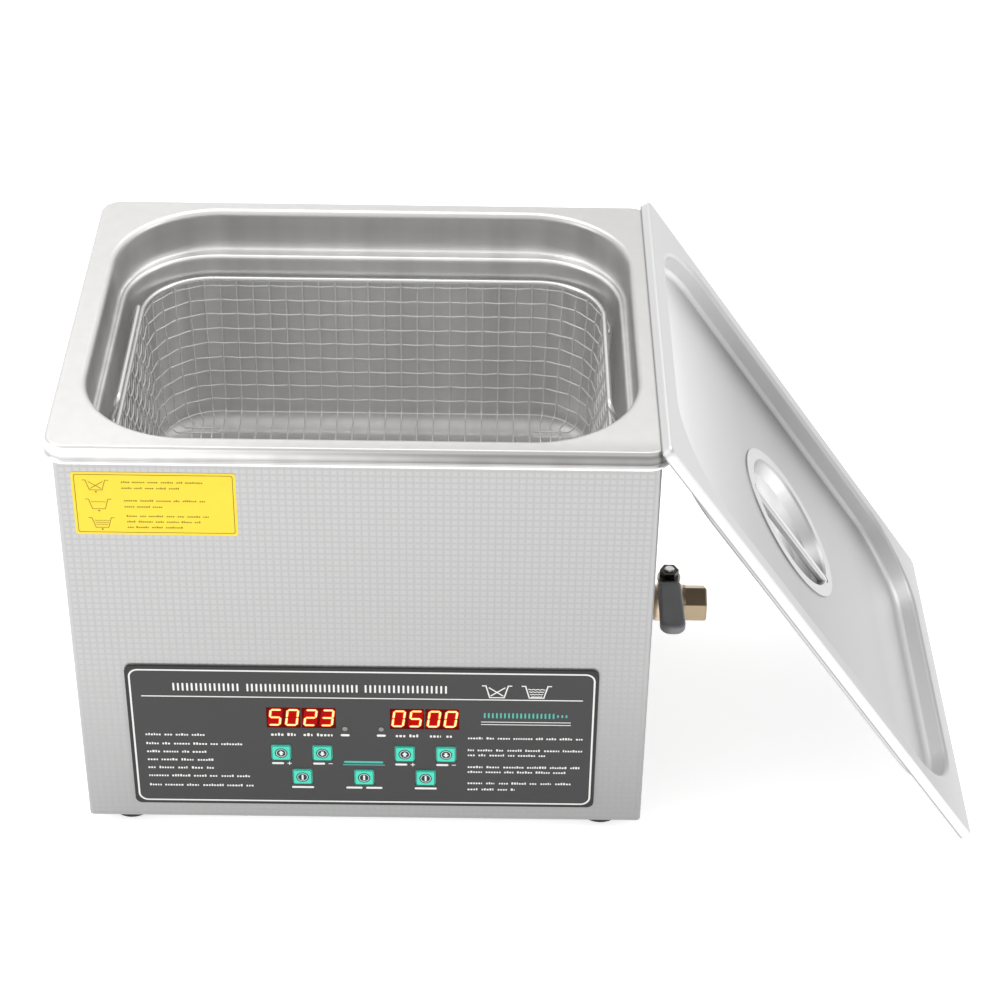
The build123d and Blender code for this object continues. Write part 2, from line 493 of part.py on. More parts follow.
# flat ribbon cable from the control board down to the generator board
rib_path = FilletPolyline([(-40, BOARD_Y + 5.0, 48), (-40, -104, 48), (-40, -96, 34),
                           (-40, -70, 27.0), (-40, -54, 27.0)], radius=5.0)
rib_profile = Plane(origin=rib_path @ 0, x_dir=(1, 0, 0), z_dir=rib_path % 0) * Rectangle(18, 0.9)
ribbon = sweep(rib_profile, path=rib_path)
conn_a = block(-50, -30, BOARD_Y + 1.6, BOARD_Y + 5.0, 44.5, 51.5)
conn_b = block(-50, -30, -54.0, -46.0, BOARD_Z + 1.6, 30.0)
add("ribbon_cable", ribbon, conn_a, conn_b)

# printed notice on the front, upper left
label = block(-151.7, -64.7, YF - 0.25, YF, 213.0, 254.0)
label = fillet(label.edges().filter_by(Axis.Y), 1.5)
add("notice_label", label)

# ===========================================================================
# BASKET: woven mesh tub, rim wire, two welded handles, two wire skids
# ===========================================================================
MESH_T = 0.9
tub_top = BASKET_Z - RIM_WIRE - 0.05
slope = math.degrees(math.atan(BASKET_DRAFT / (tub_top - BASKET_FLOOR)))


def tub(off, z_bottom, z_top, r_bottom):
    # grows upward: start at the floor size, lean outward
    bx = BASKET_X - BASKET_DRAFT + off
    by = BASKET_Y - BASKET_DRAFT + off
    t = prism(2 * bx, 2 * by, BASKET_R - BASKET_DRAFT + off, z_bottom, z_top, taper=-slope)
    return fillet(t.faces().sort_by(Axis.Z)[0].outer_wire().edges(), r_bottom)


mesh_out = tub(0.45, BASKET_FLOOR, tub_top, 8.0)
mesh_in = tub(-0.45, BASKET_FLOOR + MESH_T, tub_top + 3, 7.1)
add("basket_mesh", mesh_out - mesh_in)
rim_path = Pos(0, 0, BASKET_Z) * RectangleRounded(2 * BASKET_X, 2 * BASKET_Y, BASKET_R).wire()
add("basket_rim", rod(rim_path, RIM_WIRE))


def wall_x(z):
    return BASKET_X - BASKET_DRAFT * (tub_top - z) / (tub_top - BASKET_FLOOR) + 0.45


HANDLE_Y, HANDLE_Z, HANDLE_X = 50.0, 249.0, 136.0
handles = []
for s in (-1, 1):
    low = (s * (wall_x(186) + RIM_WIRE + 0.15), 186.0)
    mid = (s * (BASKET_X + 2 * RIM_WIRE + 0.12), 233.0)
    high = (s * (BASKET_X + 2 * RIM_WIRE + 0.0), 238.5)
    pts = [(low[0], -HANDLE_Y, low[1]), (mid[0], -HANDLE_Y, mid[1] - 6.0), (high[0], -HANDLE_Y, high[1]),
           (s * HANDLE_X, -HANDLE_Y, HANDLE_Z), (s * HANDLE_X, HANDLE_Y, HANDLE_Z),
           (high[0], HANDLE_Y, high[1]), (mid[0], HANDLE_Y, mid[1] - 6.0), (low[0], HANDLE_Y, low[1])]
    hp = FilletPolyline(pts, radius=[6.0, 6.0, 4.6, 4.6, 6.0, 6.0])
    handles.append(rod(hp, RIM_WIRE))
add("basket_handles", *handles)

SKID_Z = TANK_FLOOR + 0.3 + RIM_WIRE
skids = []
for x in (-95.0, 85.0):
    sp = FilletPolyline([(x, -80, BASKET_FLOOR - RIM_WIRE - 0.02), (x, -66, BASKET_FLOOR - RIM_WIRE - 0.02),
                         (x, -60, SKID_Z), (x, 60, SKID_Z),
                         (x, 66, BASKET_FLOOR - RIM_WIRE - 0.02), (x, 80, BASKET_FLOOR - RIM_WIRE - 0.02)],
                        radius=4.0)
    skids.append(rod(sp, RIM_WIRE))
add("basket_skids", *skids)

# ===========================================================================
# LID: built flat (local x along its length, z out of its top), then leaned
# ===========================================================================
lid_block = prism(LID_L, LID_W, LID_R, -LID_SKIRT, 0)
lid_block = fillet(top_edges(lid_block), 1.4)
pan_out = Rot(180, 0, 0) * extrude(RectangleRounded(2 * (PAN_L + LID_T), 2 * (PAN_W + LID_T), PAN_R + LID_T),
                                   PAN_DEPTH + LID_T, taper=PAN_TAPER)
pan_out = fillet(pan_out.faces().sort_by(Axis.Z)[0].outer_wire().edges(), 4.8)
pan_in = Rot(180, 0, 0) * extrude(RectangleRounded(2 * PAN_L, 2 * PAN_W, PAN_R),
                                  PAN_DEPTH, taper=PAN_TAPER)
pan_in = fillet(pan_in.faces().sort_by(Axis.Z)[0].outer_wire().edges(), 4.0)
below = prism(LID_L - 2 * LID_T, LID_W - 2 * LID_T, LID_R - LID_T, -LID_SKIRT - 1, -LID_T)
below = fillet(top_edges(below), 0.6)
below = below - pan_out
below = fillet(below.faces().sort_by(Axis.Z)[-1].inner_wires()[0].edges(), 2.2)
lid = (lid_block - below) + pan_out - pan_in
lid = fillet(lid.faces().sort_by(Axis.Z)[-1].inner_wires()[0].edges(), 2.6)
lid = lid - cyl_z(0, 0, -20, 5, CUP_R + 1.8)

# pressed round cup let into the panel, with the grip bar across it
F0 = -PAN_DEPTH
cup_pts = [(49.5, F0), (49.5, F0 + 0.8), (CUP_R, F0 + 0.8), (CUP_R - 3.5, F0 - 7.5), (CUP_R - 14, F0 - 12.2),
           (0, F0 - 13.0), (0, F0 - 13.8), (CUP_R - 13.6, F0 - 13.0), (CUP_R - 2.8, F0 - 8.1), (CUP_R + 0.7, F0)]
cup_face = make_face(Plane.XZ * Polyline(cup_pts, close=True))
cup = revolve(cup_face, axis=Axis.Z)
BAR_L, BAR_W, BAR_H, BAR_Y = 86.0, 6.4, 4.6, -12.0     # set towards the front of the cup
bar = Pos(0, BAR_Y, F0 + 0.8 - BAR_H) * extrude(SlotOverall(BAR_L, BAR_W), BAR_H)
bar = fillet(bar.faces().sort_by(Axis.Z)[-1].outer_wire().edges(), 1.9)
bar = fillet(bar.faces().sort_by(Axis.Z)[0].outer_wire().edges(), 1.4)
bar_space = Pos(0, BAR_Y, F0 + 0.8 - BAR_H - 0.05) * extrude(SlotOverall(BAR_L + 0.1, BAR_W + 0.1), BAR_H + 3)
cup = cup - bar_space
lid = lid - bar_space

ang = math.radians(LID_ANGLE)
d = (math.sin(ang), 0.0, -math.cos(ang))          # down the slope
n = (math.cos(ang), 0.0, math.sin(ang))           # out of the lid's top
foot_x, foot_z = 350.7, 0.05                      # lower skirt edge on the bench
ox = foot_x - LID_L / 2 * d[0] + LID_SKIRT * n[0]
oz = foot_z - LID_L / 2 * d[2] + LID_SKIRT * n[2]
lean = Plane(origin=(ox, 0, oz), x_dir=d, z_dir=n)
add("lid_panel", lean * lid)
add("lid_handle_cup", lean * cup)
add("lid_handle_bar", lean * bar)
print("lid centre", ox, oz, "normal", n, "angle", LID_ANGLE)

for name, shape in PARTS.items():
    export_step(shape, f"parts/{name}.step")
print(len(PARTS), "nodes")
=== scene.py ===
import bpy
import bmesh
import json
import math
import random
from mathutils import Matrix, Vector


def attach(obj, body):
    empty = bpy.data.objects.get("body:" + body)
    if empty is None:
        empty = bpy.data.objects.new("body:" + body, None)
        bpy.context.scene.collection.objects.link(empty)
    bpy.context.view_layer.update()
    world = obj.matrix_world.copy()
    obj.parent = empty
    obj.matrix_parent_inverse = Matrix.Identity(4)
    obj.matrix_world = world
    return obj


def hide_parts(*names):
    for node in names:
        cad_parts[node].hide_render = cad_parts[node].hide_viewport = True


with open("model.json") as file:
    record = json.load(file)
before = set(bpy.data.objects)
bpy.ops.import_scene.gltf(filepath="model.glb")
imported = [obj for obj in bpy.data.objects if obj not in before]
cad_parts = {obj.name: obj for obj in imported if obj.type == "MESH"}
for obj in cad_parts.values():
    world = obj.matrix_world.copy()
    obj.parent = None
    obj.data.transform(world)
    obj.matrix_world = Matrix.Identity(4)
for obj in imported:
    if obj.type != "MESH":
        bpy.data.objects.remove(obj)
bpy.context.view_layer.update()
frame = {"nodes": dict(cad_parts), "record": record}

MM = 0.001
scene = bpy.context.scene
scene.view_settings.view_transform = "Standard"
scene.view_settings.look = "None"

# ---------------------------------------------------------------------------
# Camera
# ---------------------------------------------------------------------------
yaw, pitch, roll = math.radians(0.5458), math.radians(36.1159), math.radians(1.0402)
fwd = Vector((math.sin(yaw) * math.cos(pitch), math.cos(yaw) * math.cos(pitch), -math.sin(pitch)))
right = Vector((math.cos(yaw), -math.sin(yaw), 0.0))
up = right.cross(fwd)
r2 = math.cos(roll) * right + math.sin(roll) * up
u2 = -math.sin(roll) * right + math.cos(roll) * up
cam_data = bpy.data.cameras.new("camera")
cam_data.sensor_width = 36.0
cam_data.lens = 91.28
cam_data.clip_start = 0.05
cam_data.clip_end = 60.0
cam = bpy.data.objects.new("camera", cam_data)
m = Matrix.Identity(4)
for i in range(3):
    m[i][0], m[i][1], m[i][2] = r2[i], u2[i], -fwd[i]
m[0][3], m[1][3], m[2][3] = 0.06541, -1.21686, 1.03456
cam.matrix_world = m
scene.collection.objects.link(cam)
scene.camera = cam

# ---------------------------------------------------------------------------
# Materials
# ---------------------------------------------------------------------------


def lin(r, g, b):
    def f(c):
        c = c / 255.0
        return c / 12.92 if c <= 0.04045 else ((c + 0.055) / 1.055) ** 2.4
    return (f(r), f(g), f(b), 1.0)


def shade(col, k):
    return (min(col[0] * k, 1.0), min(col[1] * k, 1.0), min(col[2] * k, 1.0), 1.0)


class Mat:
    """A small builder for node materials in the object's own coordinates."""

    def __init__(self, name):
        self.m = bpy.data.materials.new(name)
        self.m.use_nodes = True
        self.t = self.m.node_tree
        self.p = self.t.nodes["Principled BSDF"]
        self.coord = self.t.nodes.new("ShaderNodeTexCoord")

    def node(self, kind):
        return self.t.nodes.new(kind)

    def link(self, a, b):
        self.t.links.new(a, b)

    def noise(self, scale, stretch=(1, 1, 1), detail=4.0, rough=0.55, turn=(0, 0, 0)):
        mp = self.node("ShaderNodeMapping")
        mp.inputs["Scale"].default_value = tuple(scale * s for s in stretch)
        mp.inputs["Rotation"].default_value = tuple(math.radians(a) for a in turn)
        self.link(self.coord.outputs["Object"], mp.inputs["Vector"])
        n = self.node("ShaderNodeTexNoise")
        n.inputs["Scale"].default_value = 1.0
        n.inputs["Detail"].default_value = detail
        n.inputs["Roughness"].default_value = rough
        self.link(mp.outputs["Vector"], n.inputs["Vector"])
        return n.outputs["Fac"]

    def ramp(self, fac, lo, hi, a, b):
        r = self.node("ShaderNodeMapRange")
        r.inputs["From Min"].default_value = lo
        r.inputs["From Max"].default_value = hi
        r.inputs["To Min"].default_value = a
        r.inputs["To Max"].default_value = b
        self.link(fac, r.inputs["Value"])
        return r.outputs["Result"]

    def mixcol(self, fac, a, b):
        x = self.node("ShaderNodeMix")
        x.data_type = "RGBA"
        x.inputs["A"].default_value = a if not hasattr(a, "is_linked") else (0, 0, 0, 1)
        self.link(fac, x.inputs["Factor"])
        ia = [i for i in x.inputs if i.name == "A" and i.type == "RGBA"][0]
        ib = [i for i in x.inputs if i.name == "B" and i.type == "RGBA"][0]
        for sock, val in ((ia, a), (ib, b)):
            if hasattr(val, "is_linked"):
                self.link(val, sock)
            else:
                sock.default_value = val
        return [o for o in x.outputs if o.type == "RGBA"][0]

    def colour(self, out):
        self.link(out, self.p.inputs["Base Color"])

    def bump(self, height, strength, distance):
        b = self.node("ShaderNodeBump")
        b.inputs["Strength"].default_value = strength
        b.inputs["Distance"].default_value = distance
        self.link(height, b.inputs["Height"])
        prev = [l for l in self.t.links if l.to_socket == self.p.inputs["Normal"]]
        if prev:
            self.link(prev[0].from_socket, b.inputs["Normal"])
        self.link(b.outputs["Normal"], self.p.inputs["Normal"])

    def set(self, **kw):
        names = {"metallic": "Metallic", "rough": "Roughness", "ior": "IOR", "coat": "Coat Weight",
                 "coat_rough": "Coat Roughness", "spec": "Specular IOR Level", "alpha": "Alpha",
                 "trans": "Transmission Weight", "emit": "Emission Strength", "emit_col": "Emission Color"}
        for k, v in kw.items():
            self.p.inputs[names[k]].default_value = v


def metal(name, col, rough, grain=1400.0, stretch=(0.03, 1, 1), bump=0.05, vary=0.05, blot=0.16, metallic=1.0):
    """Rolled or drawn metal: fine grain in one direction, soft blotches of roughness and tone."""
    k = Mat(name)
    k.set(metallic=metallic)
    fine = k.noise(grain, stretch, 3.0, 0.6)
    big = k.noise(5.0, (1, 1, 1), 2.0, 0.5)
    tone = k.mixcol(k.ramp(fine, 0.3, 0.7, 0.0, 1.0), shade(col, 1.0 - vary), shade(col, 1.0 + vary))
    k.colour(tone)
    base = k.ramp(big, 0.3, 0.7, rough * (1 - blot), rough * (1 + blot))
    add = k.node("ShaderNodeMath")
    add.operation = "ADD"
    k.link(base, add.inputs[0])
    k.link(k.ramp(fine, 0.3, 0.7, -0.03, 0.03), add.inputs[1])
    k.link(add.outputs[0], k.p.inputs["Roughness"])
    if bump:
        k.bump(fine, bump, 0.00004)
    return k.m


def moulded(name, col, rough, grain=2600.0, bump=0.12, depth=0.00006, vary=0.10, spec=0.5, coat=0.0):
    """Moulded plastic or rubber: fine pebble grain, slightly uneven tone and gloss."""
    k = Mat(name)
    k.set(metallic=0.0, spec=spec, coat=coat, coat_rough=0.2)
    fine = k.noise(grain, (1, 1, 1), 2.0, 0.5)
    big = k.noise(45.0, (1, 1, 1), 4.0, 0.6)
    k.colour(k.mixcol(k.ramp(big, 0.3, 0.7, 0.0, 1.0), shade(col, 1.0 - vary), shade(col, 1.0 + vary)))
    k.link(k.ramp(big, 0.3, 0.7, rough * 0.85, min(rough * 1.15, 1.0)), k.p.inputs["Roughness"])
    k.bump(fine, bump, depth)
    return k.m


def printed(name, col, rough=0.55, vary=0.05, emit=0.0):
    """Screen-printed ink: flat tone with slight unevenness and a faint tooth."""
    k = Mat(name)
    k.set(metallic=0.0, spec=0.3)
    big = k.noise(120.0, (1, 1, 1), 3.0, 0.6)
    k.colour(k.mixcol(k.ramp(big, 0.3, 0.7, 0.0, 1.0), shade(col, 1.0 - vary), shade(col, 1.0 + vary * 0.4)))
    k.link(k.ramp(big, 0.3, 0.7, rough * 0.9, rough * 1.1), k.p.inputs["Roughness"])
    k.bump(k.noise(4000.0), 0.05, 0.00002)
    if emit:
        k.set(emit=emit, emit_col=col)
    return k.m


def glowing(name, col, strength, base=(0.2, 0.01, 0.0, 1.0)):
    k = Mat(name)
    k.set(metallic=0.0, rough=0.4, emit_col=col)
    n = k.noise(700.0, (1, 1, 1), 2.0, 0.5)
    k.colour(k.mixcol(n, shade(base, 0.9), shade(base, 1.1)))
    k.link(k.ramp(n, 0.3, 0.7, strength * 0.92, strength * 1.06), k.p.inputs["Emission Strength"])
    return k.m


def position(k):
    """X, Y and Z of the object's own coordinates, in metres."""
    sp = k.node("ShaderNodeSeparateXYZ")
    k.link(k.coord.outputs["Object"], sp.inputs["Vector"])
    return sp.outputs["X"], sp.outputs["Y"], sp.outputs["Z"]


def calc(k, op, a, b=None, c=None):
    x = k.node("ShaderNodeMath")
    x.operation = op
    for i, v in enumerate((a, b, c)):
        if v is None:
            continue
        if hasattr(v, "is_linked"):
            k.link(v, x.inputs[i])
        else:
            x.inputs[i].default_value = v
    return x.outputs[0]


def smooth(k, v, lo, hi, a=0.0, b=1.0):
    r = k.node("ShaderNodeMapRange")
    r.interpolation_type = "SMOOTHSTEP"
    r.inputs["From Min"].default_value = lo
    r.inputs["From Max"].default_value = hi
    r.inputs["To Min"].default_value = a
    r.inputs["To Max"].default_value = b
    k.link(v, r.inputs["Value"])
    return r.outputs["Result"]


def scaled(k, col, factor):
    """Multiply a colour by a number that varies over the surface."""
    x = k.node("ShaderNodeVectorMath")
    x.operation = "SCALE"
    k.link(col, x.inputs[0])
    k.link(factor, x.inputs["Scale"])
    return x.outputs["Vector"]


def grained(k, v, vary, scale, stretch):
    """A grey level with a fine directional grain."""
    fine = k.noise(scale, stretch, 3.0, 0.6)
    return calc(k, "MULTIPLY", v, k.ramp(fine, 0.3, 0.7, 1.0 - vary, 1.0 + vary)), fine


def grey(k, v, tint=(1.0, 1.0, 1.0)):
    c = k.node("ShaderNodeCombineColor")
    for i, n_ in enumerate(("Red", "Green", "Blue")):
        k.link(calc(k, "MULTIPLY", v, tint[i]), c.inputs[n_])
    return c.outputs["Color"]


def curve(k, v, stops):
    """Piecewise grey level over v; stops are (v, level)."""
    r = k.node("ShaderNodeValToRGB")
    lo, hi = stops[0][0], stops[-1][0]
    el = r.color_ramp.elements
    while len(el) < len(stops):
        el.new(0.5)
    for e, (x, y) in zip(el, stops):
        e.position = (x - lo) / (hi - lo)
        e.color = (y, y, y, 1.0)
    k.link(k.ramp(v, lo, hi, 0.0, 1.0), r.inputs["Fac"])
    bw = k.node("ShaderNodeRGBToBW")
    k.link(r.outputs["Color"], bw.inputs["Color"])
    return bw.outputs[0]


def case_metal(name, axis=None, pitch=0.004, u0=0.0, v0=0.0):
    """Embossed case sheet: painted highlight on the tops of the squares, painted shade in the grooves, and painted
    shade darker toward the bottom and toward the right.
    """
    k = Mat(name)
    k.set(metallic=0.75)
    x, y, z = position(k)
    # painted shade: the grey falls off toward the bottom of the case and toward its right, so the right side panel is
    # painted darker than the left
    level = curve(k, z, ((0.0, 0.375), (0.03, 0.39), (0.12, 0.455), (0.268, 0.485)))
    level = calc(k, "MULTIPLY", level, smooth(k, x, -0.16, 0.17, 1.0, 0.93))
    if axis:
        u = x if axis == "x" else y
        tri = []
        for val, off in ((u, u0), (z, v0)):
            f = calc(k, "FRACT", calc(k, "DIVIDE", calc(k, "SUBTRACT", val, off), pitch))
            tri.append(calc(k, "ABSOLUTE", calc(k, "SUBTRACT", f, 0.5)))
        groove = calc(k, "MAXIMUM", tri[0], tri[1])
        # painted shade in the grooves and a faint painted highlight on the square tops, both fading out toward the
        # bottom
        groove_shade_and_top_highlight = calc(k, "MULTIPLY", smooth(k, groove, 0.24, 0.47, -0.02, 0.09), smooth(k, z, 0.05, 0.17, 0.25, 1.0))
        level = calc(k, "MULTIPLY", level, calc(k, "SUBTRACT", 1.0, groove_shade_and_top_highlight))
    level, fine = grained(k, level, 0.015, 1600.0, (1, 1, 0.25))
    k.colour(grey(k, level))
    k.link(k.ramp(fine, 0.3, 0.7, 0.30, 0.36), k.p.inputs["Roughness"])
    k.bump(fine, 0.03, 0.00003)
    return k.m


def tank_metal(name):
    """Deep-drawn steel with painted light: painted highlights on the flange top, the ledge and the rolled edges, a
    painted shade band down the outer lip, and painted shade on the lower walls, the end walls and parts of the flange.
    """
    k = Mat(name)
    k.set(metallic=0.9)
    x, y, z = position(k)
    # painted light by height: painted shade on the lower walls, a painted highlight along the ledge and on the flange
    # top
    inside = curve(k, z, ((0.118, 0.54), (0.128, 0.74), (0.145, 0.78), (0.17, 0.75), (0.21, 0.73), (0.2435, 0.72),
                          (0.2454, 0.95), (0.2475, 0.95), (0.250, 0.66), (0.262, 0.62), (0.2685, 0.66), (0.2715, 0.95), (0.275, 0.95)))
    ax = calc(k, "ABSOLUTE", x)
    ay = calc(k, "ABSOLUTE", y)
    out = calc(k, "MAXIMUM", smooth(k, ax, 0.1605, 0.1625), smooth(k, ay, 0.1255, 0.1275))
    # painted shade band with painted highlight lines above and below it on the outer lip, the band much darker on the
    # right side than on the left
    side = smooth(k, x, -0.15, 0.10, 1.0, 0.0)
    lip_shade_and_highlight_right = curve(k, z, ((0.2620, 0.95), (0.2642, 0.95), (0.2652, 0.18), (0.2672, 0.29), (0.2700, 0.27), (0.2712, 0.42), (0.2724, 0.97), (0.274, 0.93)))
    lip_shade_and_highlight_left = curve(k, z, ((0.2620, 0.92), (0.2642, 0.92), (0.2652, 0.50), (0.2672, 0.84), (0.2700, 0.88), (0.2712, 0.92), (0.2724, 0.97), (0.274, 0.93)))
    lip = calc(k, "ADD", calc(k, "MULTIPLY", lip_shade_and_highlight_left, side), calc(k, "MULTIPLY", lip_shade_and_highlight_right, calc(k, "SUBTRACT", 1.0, side)))
    level = calc(k, "ADD", calc(k, "MULTIPLY", lip, out), calc(k, "MULTIPLY", inside, calc(k, "SUBTRACT", 1.0, out)))
    streak = k.noise(60.0, (1.0, 1.0, 0.04), 2.0, 0.5)
    wall = smooth(k, z, 0.268, 0.271, 1.0, 0.0)
    flange = calc(k, "SUBTRACT", 1.0, wall)
    # painted shade: the flange top darker toward the right
    level = calc(k, "MULTIPLY", level, calc(k, "SUBTRACT", 1.0, calc(k, "MULTIPLY", flange, smooth(k, x, -0.17, 0.17, 0.10, 0.25))))
    # painted shade along the front strip of the flange, from the middle toward the right
    front = calc(k, "MULTIPLY", calc(k, "MULTIPLY", flange, smooth(k, y, -0.1285, -0.1150, 0.17, 0.0)), smooth(k, x, -0.14, -0.02))
    level = calc(k, "MULTIPLY", level, calc(k, "SUBTRACT", 1.0, front))
    # painted shade on the inner end walls of the tank, up to 30 % darker toward the left and right ends
    ends = calc(k, "MULTIPLY", calc(k, "MULTIPLY", wall, calc(k, "SUBTRACT", 1.0, out)), smooth(k, ax, 0.138, 0.150))
    level = calc(k, "MULTIPLY", level, calc(k, "SUBTRACT", 1.0, calc(k, "MULTIPLY", ends, 0.30)))
    level = calc(k, "MULTIPLY", level, calc(k, "ADD", 1.0, calc(k, "MULTIPLY", wall, k.ramp(streak, 0.3, 0.7, -0.07, 0.07))))
    level, fine = grained(k, level, 0.01, 900.0, (0.25, 0.25, 1.0))
    k.colour(grey(k, level, (1.0, 0.992, 0.978)))
    k.link(k.ramp(fine, 0.3, 0.7, 0.34, 0.40), k.p.inputs["Roughness"])
    k.bump(fine, 0.015, 0.00003)
    return k.m


def lid_metal(name):
    """Satin lid sheet with painted light: its skirt is painted lighter than its top, with painted shade on the skirt's
    bottom band; the brim and the recessed panel carry painted shade and painted highlights along the lid's length.
    """
    k = Mat(name)
    k.set(metallic=0.8)
    x, y, z = position(k)
    along = calc(k, "ADD", calc(k, "MULTIPLY", calc(k, "SUBTRACT", x, 0.2600544), 0.5722517),
                 calc(k, "MULTIPLY", calc(k, "SUBTRACT", z, 0.1404365), -0.8200780))
    out = calc(k, "ADD", calc(k, "MULTIPLY", calc(k, "SUBTRACT", x, 0.2600544), 0.8200780),
               calc(k, "MULTIPLY", calc(k, "SUBTRACT", z, 0.1404365), 0.5722517))
    edge = calc(k, "MAXIMUM", smooth(k, calc(k, "ABSOLUTE", along), 0.1655, 0.1664),
                smooth(k, calc(k, "ABSOLUTE", y), 0.1311, 0.1321))
    # painted shade on the lowest band of the skirt; the rest of the skirt is painted lighter than the top
    lower = smooth(k, out, -0.0056, -0.0048, 0.45, 1.0)
    # painted shade and highlight along the brim: lighter toward the upper end, darkest past the middle, a little
    # lighter at the lower end
    brim = curve(k, along, ((-0.17, 0.56), (-0.12, 0.53), (-0.05, 0.49), (0.0, 0.46), (0.12, 0.43), (0.17, 0.52)))
    # painted light across the recessed panel: a painted highlight near its upper end, painted shade toward the middle,
    # lighter again at the lower end, and a painted highlight along its front wall
    field_painted_light = curve(k, along, ((-0.153, 0.70), (-0.14, 0.78), (-0.115, 0.62), (-0.085, 0.51), (-0.05, 0.42), (0.0, 0.385), (0.11, 0.47), (0.14, 0.62)))
    sunk = smooth(k, out, -0.0030, -0.0008, 1.0, 0.0)
    field_painted_light = calc(k, "MAXIMUM", field_painted_light, smooth(k, y, -0.1190, -0.1120, 0.78, 0.0))
    top = calc(k, "ADD", calc(k, "MULTIPLY", field_painted_light, sunk), calc(k, "MULTIPLY", brim, calc(k, "SUBTRACT", 1.0, sunk)))
    skirt = calc(k, "MULTIPLY", lower, 0.80)
    level = calc(k, "ADD", calc(k, "MULTIPLY", skirt, edge), calc(k, "MULTIPLY", top, calc(k, "SUBTRACT", 1.0, edge)))
    level, fine = grained(k, level, 0.012, 1500.0, (1, 0.2, 1))
    k.colour(grey(k, level))
    k.link(k.ramp(fine, 0.3, 0.7, 0.40, 0.46), k.p.inputs["Roughness"])
    k.bump(fine, 0.02, 0.00003)
    return k.m


def cup_metal(name):
    """Pressed cup in the lid: its brim matches the lid; inside the cup, painted shade at both ends and a painted
    highlight just past the middle, lighter toward the back.
    """
    k = Mat(name)
    k.set(metallic=0.85)
    x, y, z = position(k)
    along = calc(k, "ADD", calc(k, "MULTIPLY", calc(k, "SUBTRACT", x, 0.2600544), 0.5722517),
                 calc(k, "MULTIPLY", calc(k, "SUBTRACT", z, 0.1404365), -0.8200780))
    out = calc(k, "ADD", calc(k, "MULTIPLY", calc(k, "SUBTRACT", x, 0.2600544), 0.8200780),
               calc(k, "MULTIPLY", calc(k, "SUBTRACT", z, 0.1404365), 0.5722517))
    brim = smooth(k, out, -0.0142, -0.0128)
    # painted shade and a painted highlight inside the cup: dark at both ends, brightest just past the middle, lighter
    # toward the back
    bowl_painted_light = curve(k, along, ((-0.042, 0.34), (-0.028, 0.40), (-0.012, 0.60), (0.010, 0.80), (0.026, 0.56), (0.042, 0.26)))
    bowl_painted_light = calc(k, "MULTIPLY", bowl_painted_light, smooth(k, y, -0.020, 0.030, 0.85, 1.18))
    level = calc(k, "ADD", calc(k, "MULTIPLY", bowl_painted_light, calc(k, "SUBTRACT", 1.0, brim)), calc(k, "MULTIPLY", brim, 0.48))
    level, fine = grained(k, level, 0.012, 1500.0, (1, 0.2, 1))
    k.colour(grey(k, level))
    k.link(k.ramp(fine, 0.3, 0.7, 0.32, 0.38), k.p.inputs["Roughness"])
    k.bump(fine, 0.02, 0.00003)
    return k.m


M = {}
PITCH, EMB = 4.0, 0.26
STEPS = (0.0, 0.24, 0.76)


def first_groove(a, b):
    return (a + b) / 2 - int((b - a) // PITCH) * PITCH / 2


FRONT_X, SIDE_Y, SKIN_Z = (-158.3, 158.3), (-123.3, 123.3), (9.6, 266.4)
M["case_steel"] = case_metal("case_steel")
M["case_front"] = case_metal("case_front", "x", PITCH * 0.001, first_groove(*FRONT_X) * 0.001 - PITCH * 0.00012,
                             first_groove(*SKIN_Z) * 0.001 - PITCH * 0.00012)
M["case_side"] = case_metal("case_side", "y", PITCH * 0.001, first_groove(*SIDE_Y) * 0.001 - PITCH * 0.00012,
                            first_groove(*SKIN_Z) * 0.001 - PITCH * 0.00012)
M["tank_steel"] = tank_metal("tank_steel")
M["lid_steel"] = lid_metal("lid_steel")
M["polished_steel"] = metal("polished_steel", (0.55, 0.55, 0.55, 1), 0.34, 1600.0, (1, 1, 1), 0.02, 0.02)
M["wire_steel"] = metal("wire_steel", (0.86, 0.86, 0.85, 1), 0.30, 2200.0, (1, 1, 1), 0.05, 0.03)
M["mesh_steel"] = metal("mesh_steel", (0.86, 0.86, 0.85, 1), 0.30, 2200.0, (1, 1, 1), 0.05, 0.04, metallic=0.42)
M["fitting_steel"] = metal("fitting_steel", (0.62, 0.62, 0.61, 1), 0.30, 1800.0, (1, 1, 0.05), 0.08)
M["screw_steel"] = metal("screw_steel", (0.52, 0.52, 0.51, 1), 0.28, 3000.0, (1, 1, 1), 0.10, 0.08)
M["zinc_bracket"] = metal("zinc_bracket", (0.50, 0.51, 0.50, 1), 0.42, 300.0, (1, 1, 1), 0.05, 0.12)
M["valve_brass"] = metal("valve_brass", (0.52, 0.41, 0.275, 1), 0.42, 1800.0, (1, 1, 1), 0.25, 0.10, 0.2)
M["pipe_brass"] = metal("pipe_brass", (0.50, 0.38, 0.22, 1), 0.34, 1600.0, (1, 1, 1), 0.15, 0.08)
M["chrome_ball"] = metal("chrome_ball", (0.85, 0.85, 0.85, 1), 0.08, 2000.0, (1, 1, 1), 0.01, 0.01)
M["copper"] = metal("copper", (0.72, 0.40, 0.25, 1), 0.32, 1500.0, (1, 1, 1), 0.06, 0.08)
M["heatsink_aluminium"] = metal("heatsink_aluminium", (0.66, 0.66, 0.67, 1), 0.36, 1200.0, (1, 0.04, 1), 0.10, 0.05)
M["board_green"] = moulded("board_green", (0.03, 0.20, 0.09, 1), 0.35, 900.0, 0.08, 0.00004, 0.12, 0.5, 0.3)
M["display_body"] = moulded("display_body", (0.05, 0.02, 0.02, 1), 0.4)
M["black_plastic"] = moulded("black_plastic", (0.022, 0.022, 0.023, 1), 0.5, 2400.0, 0.25, 0.00008)
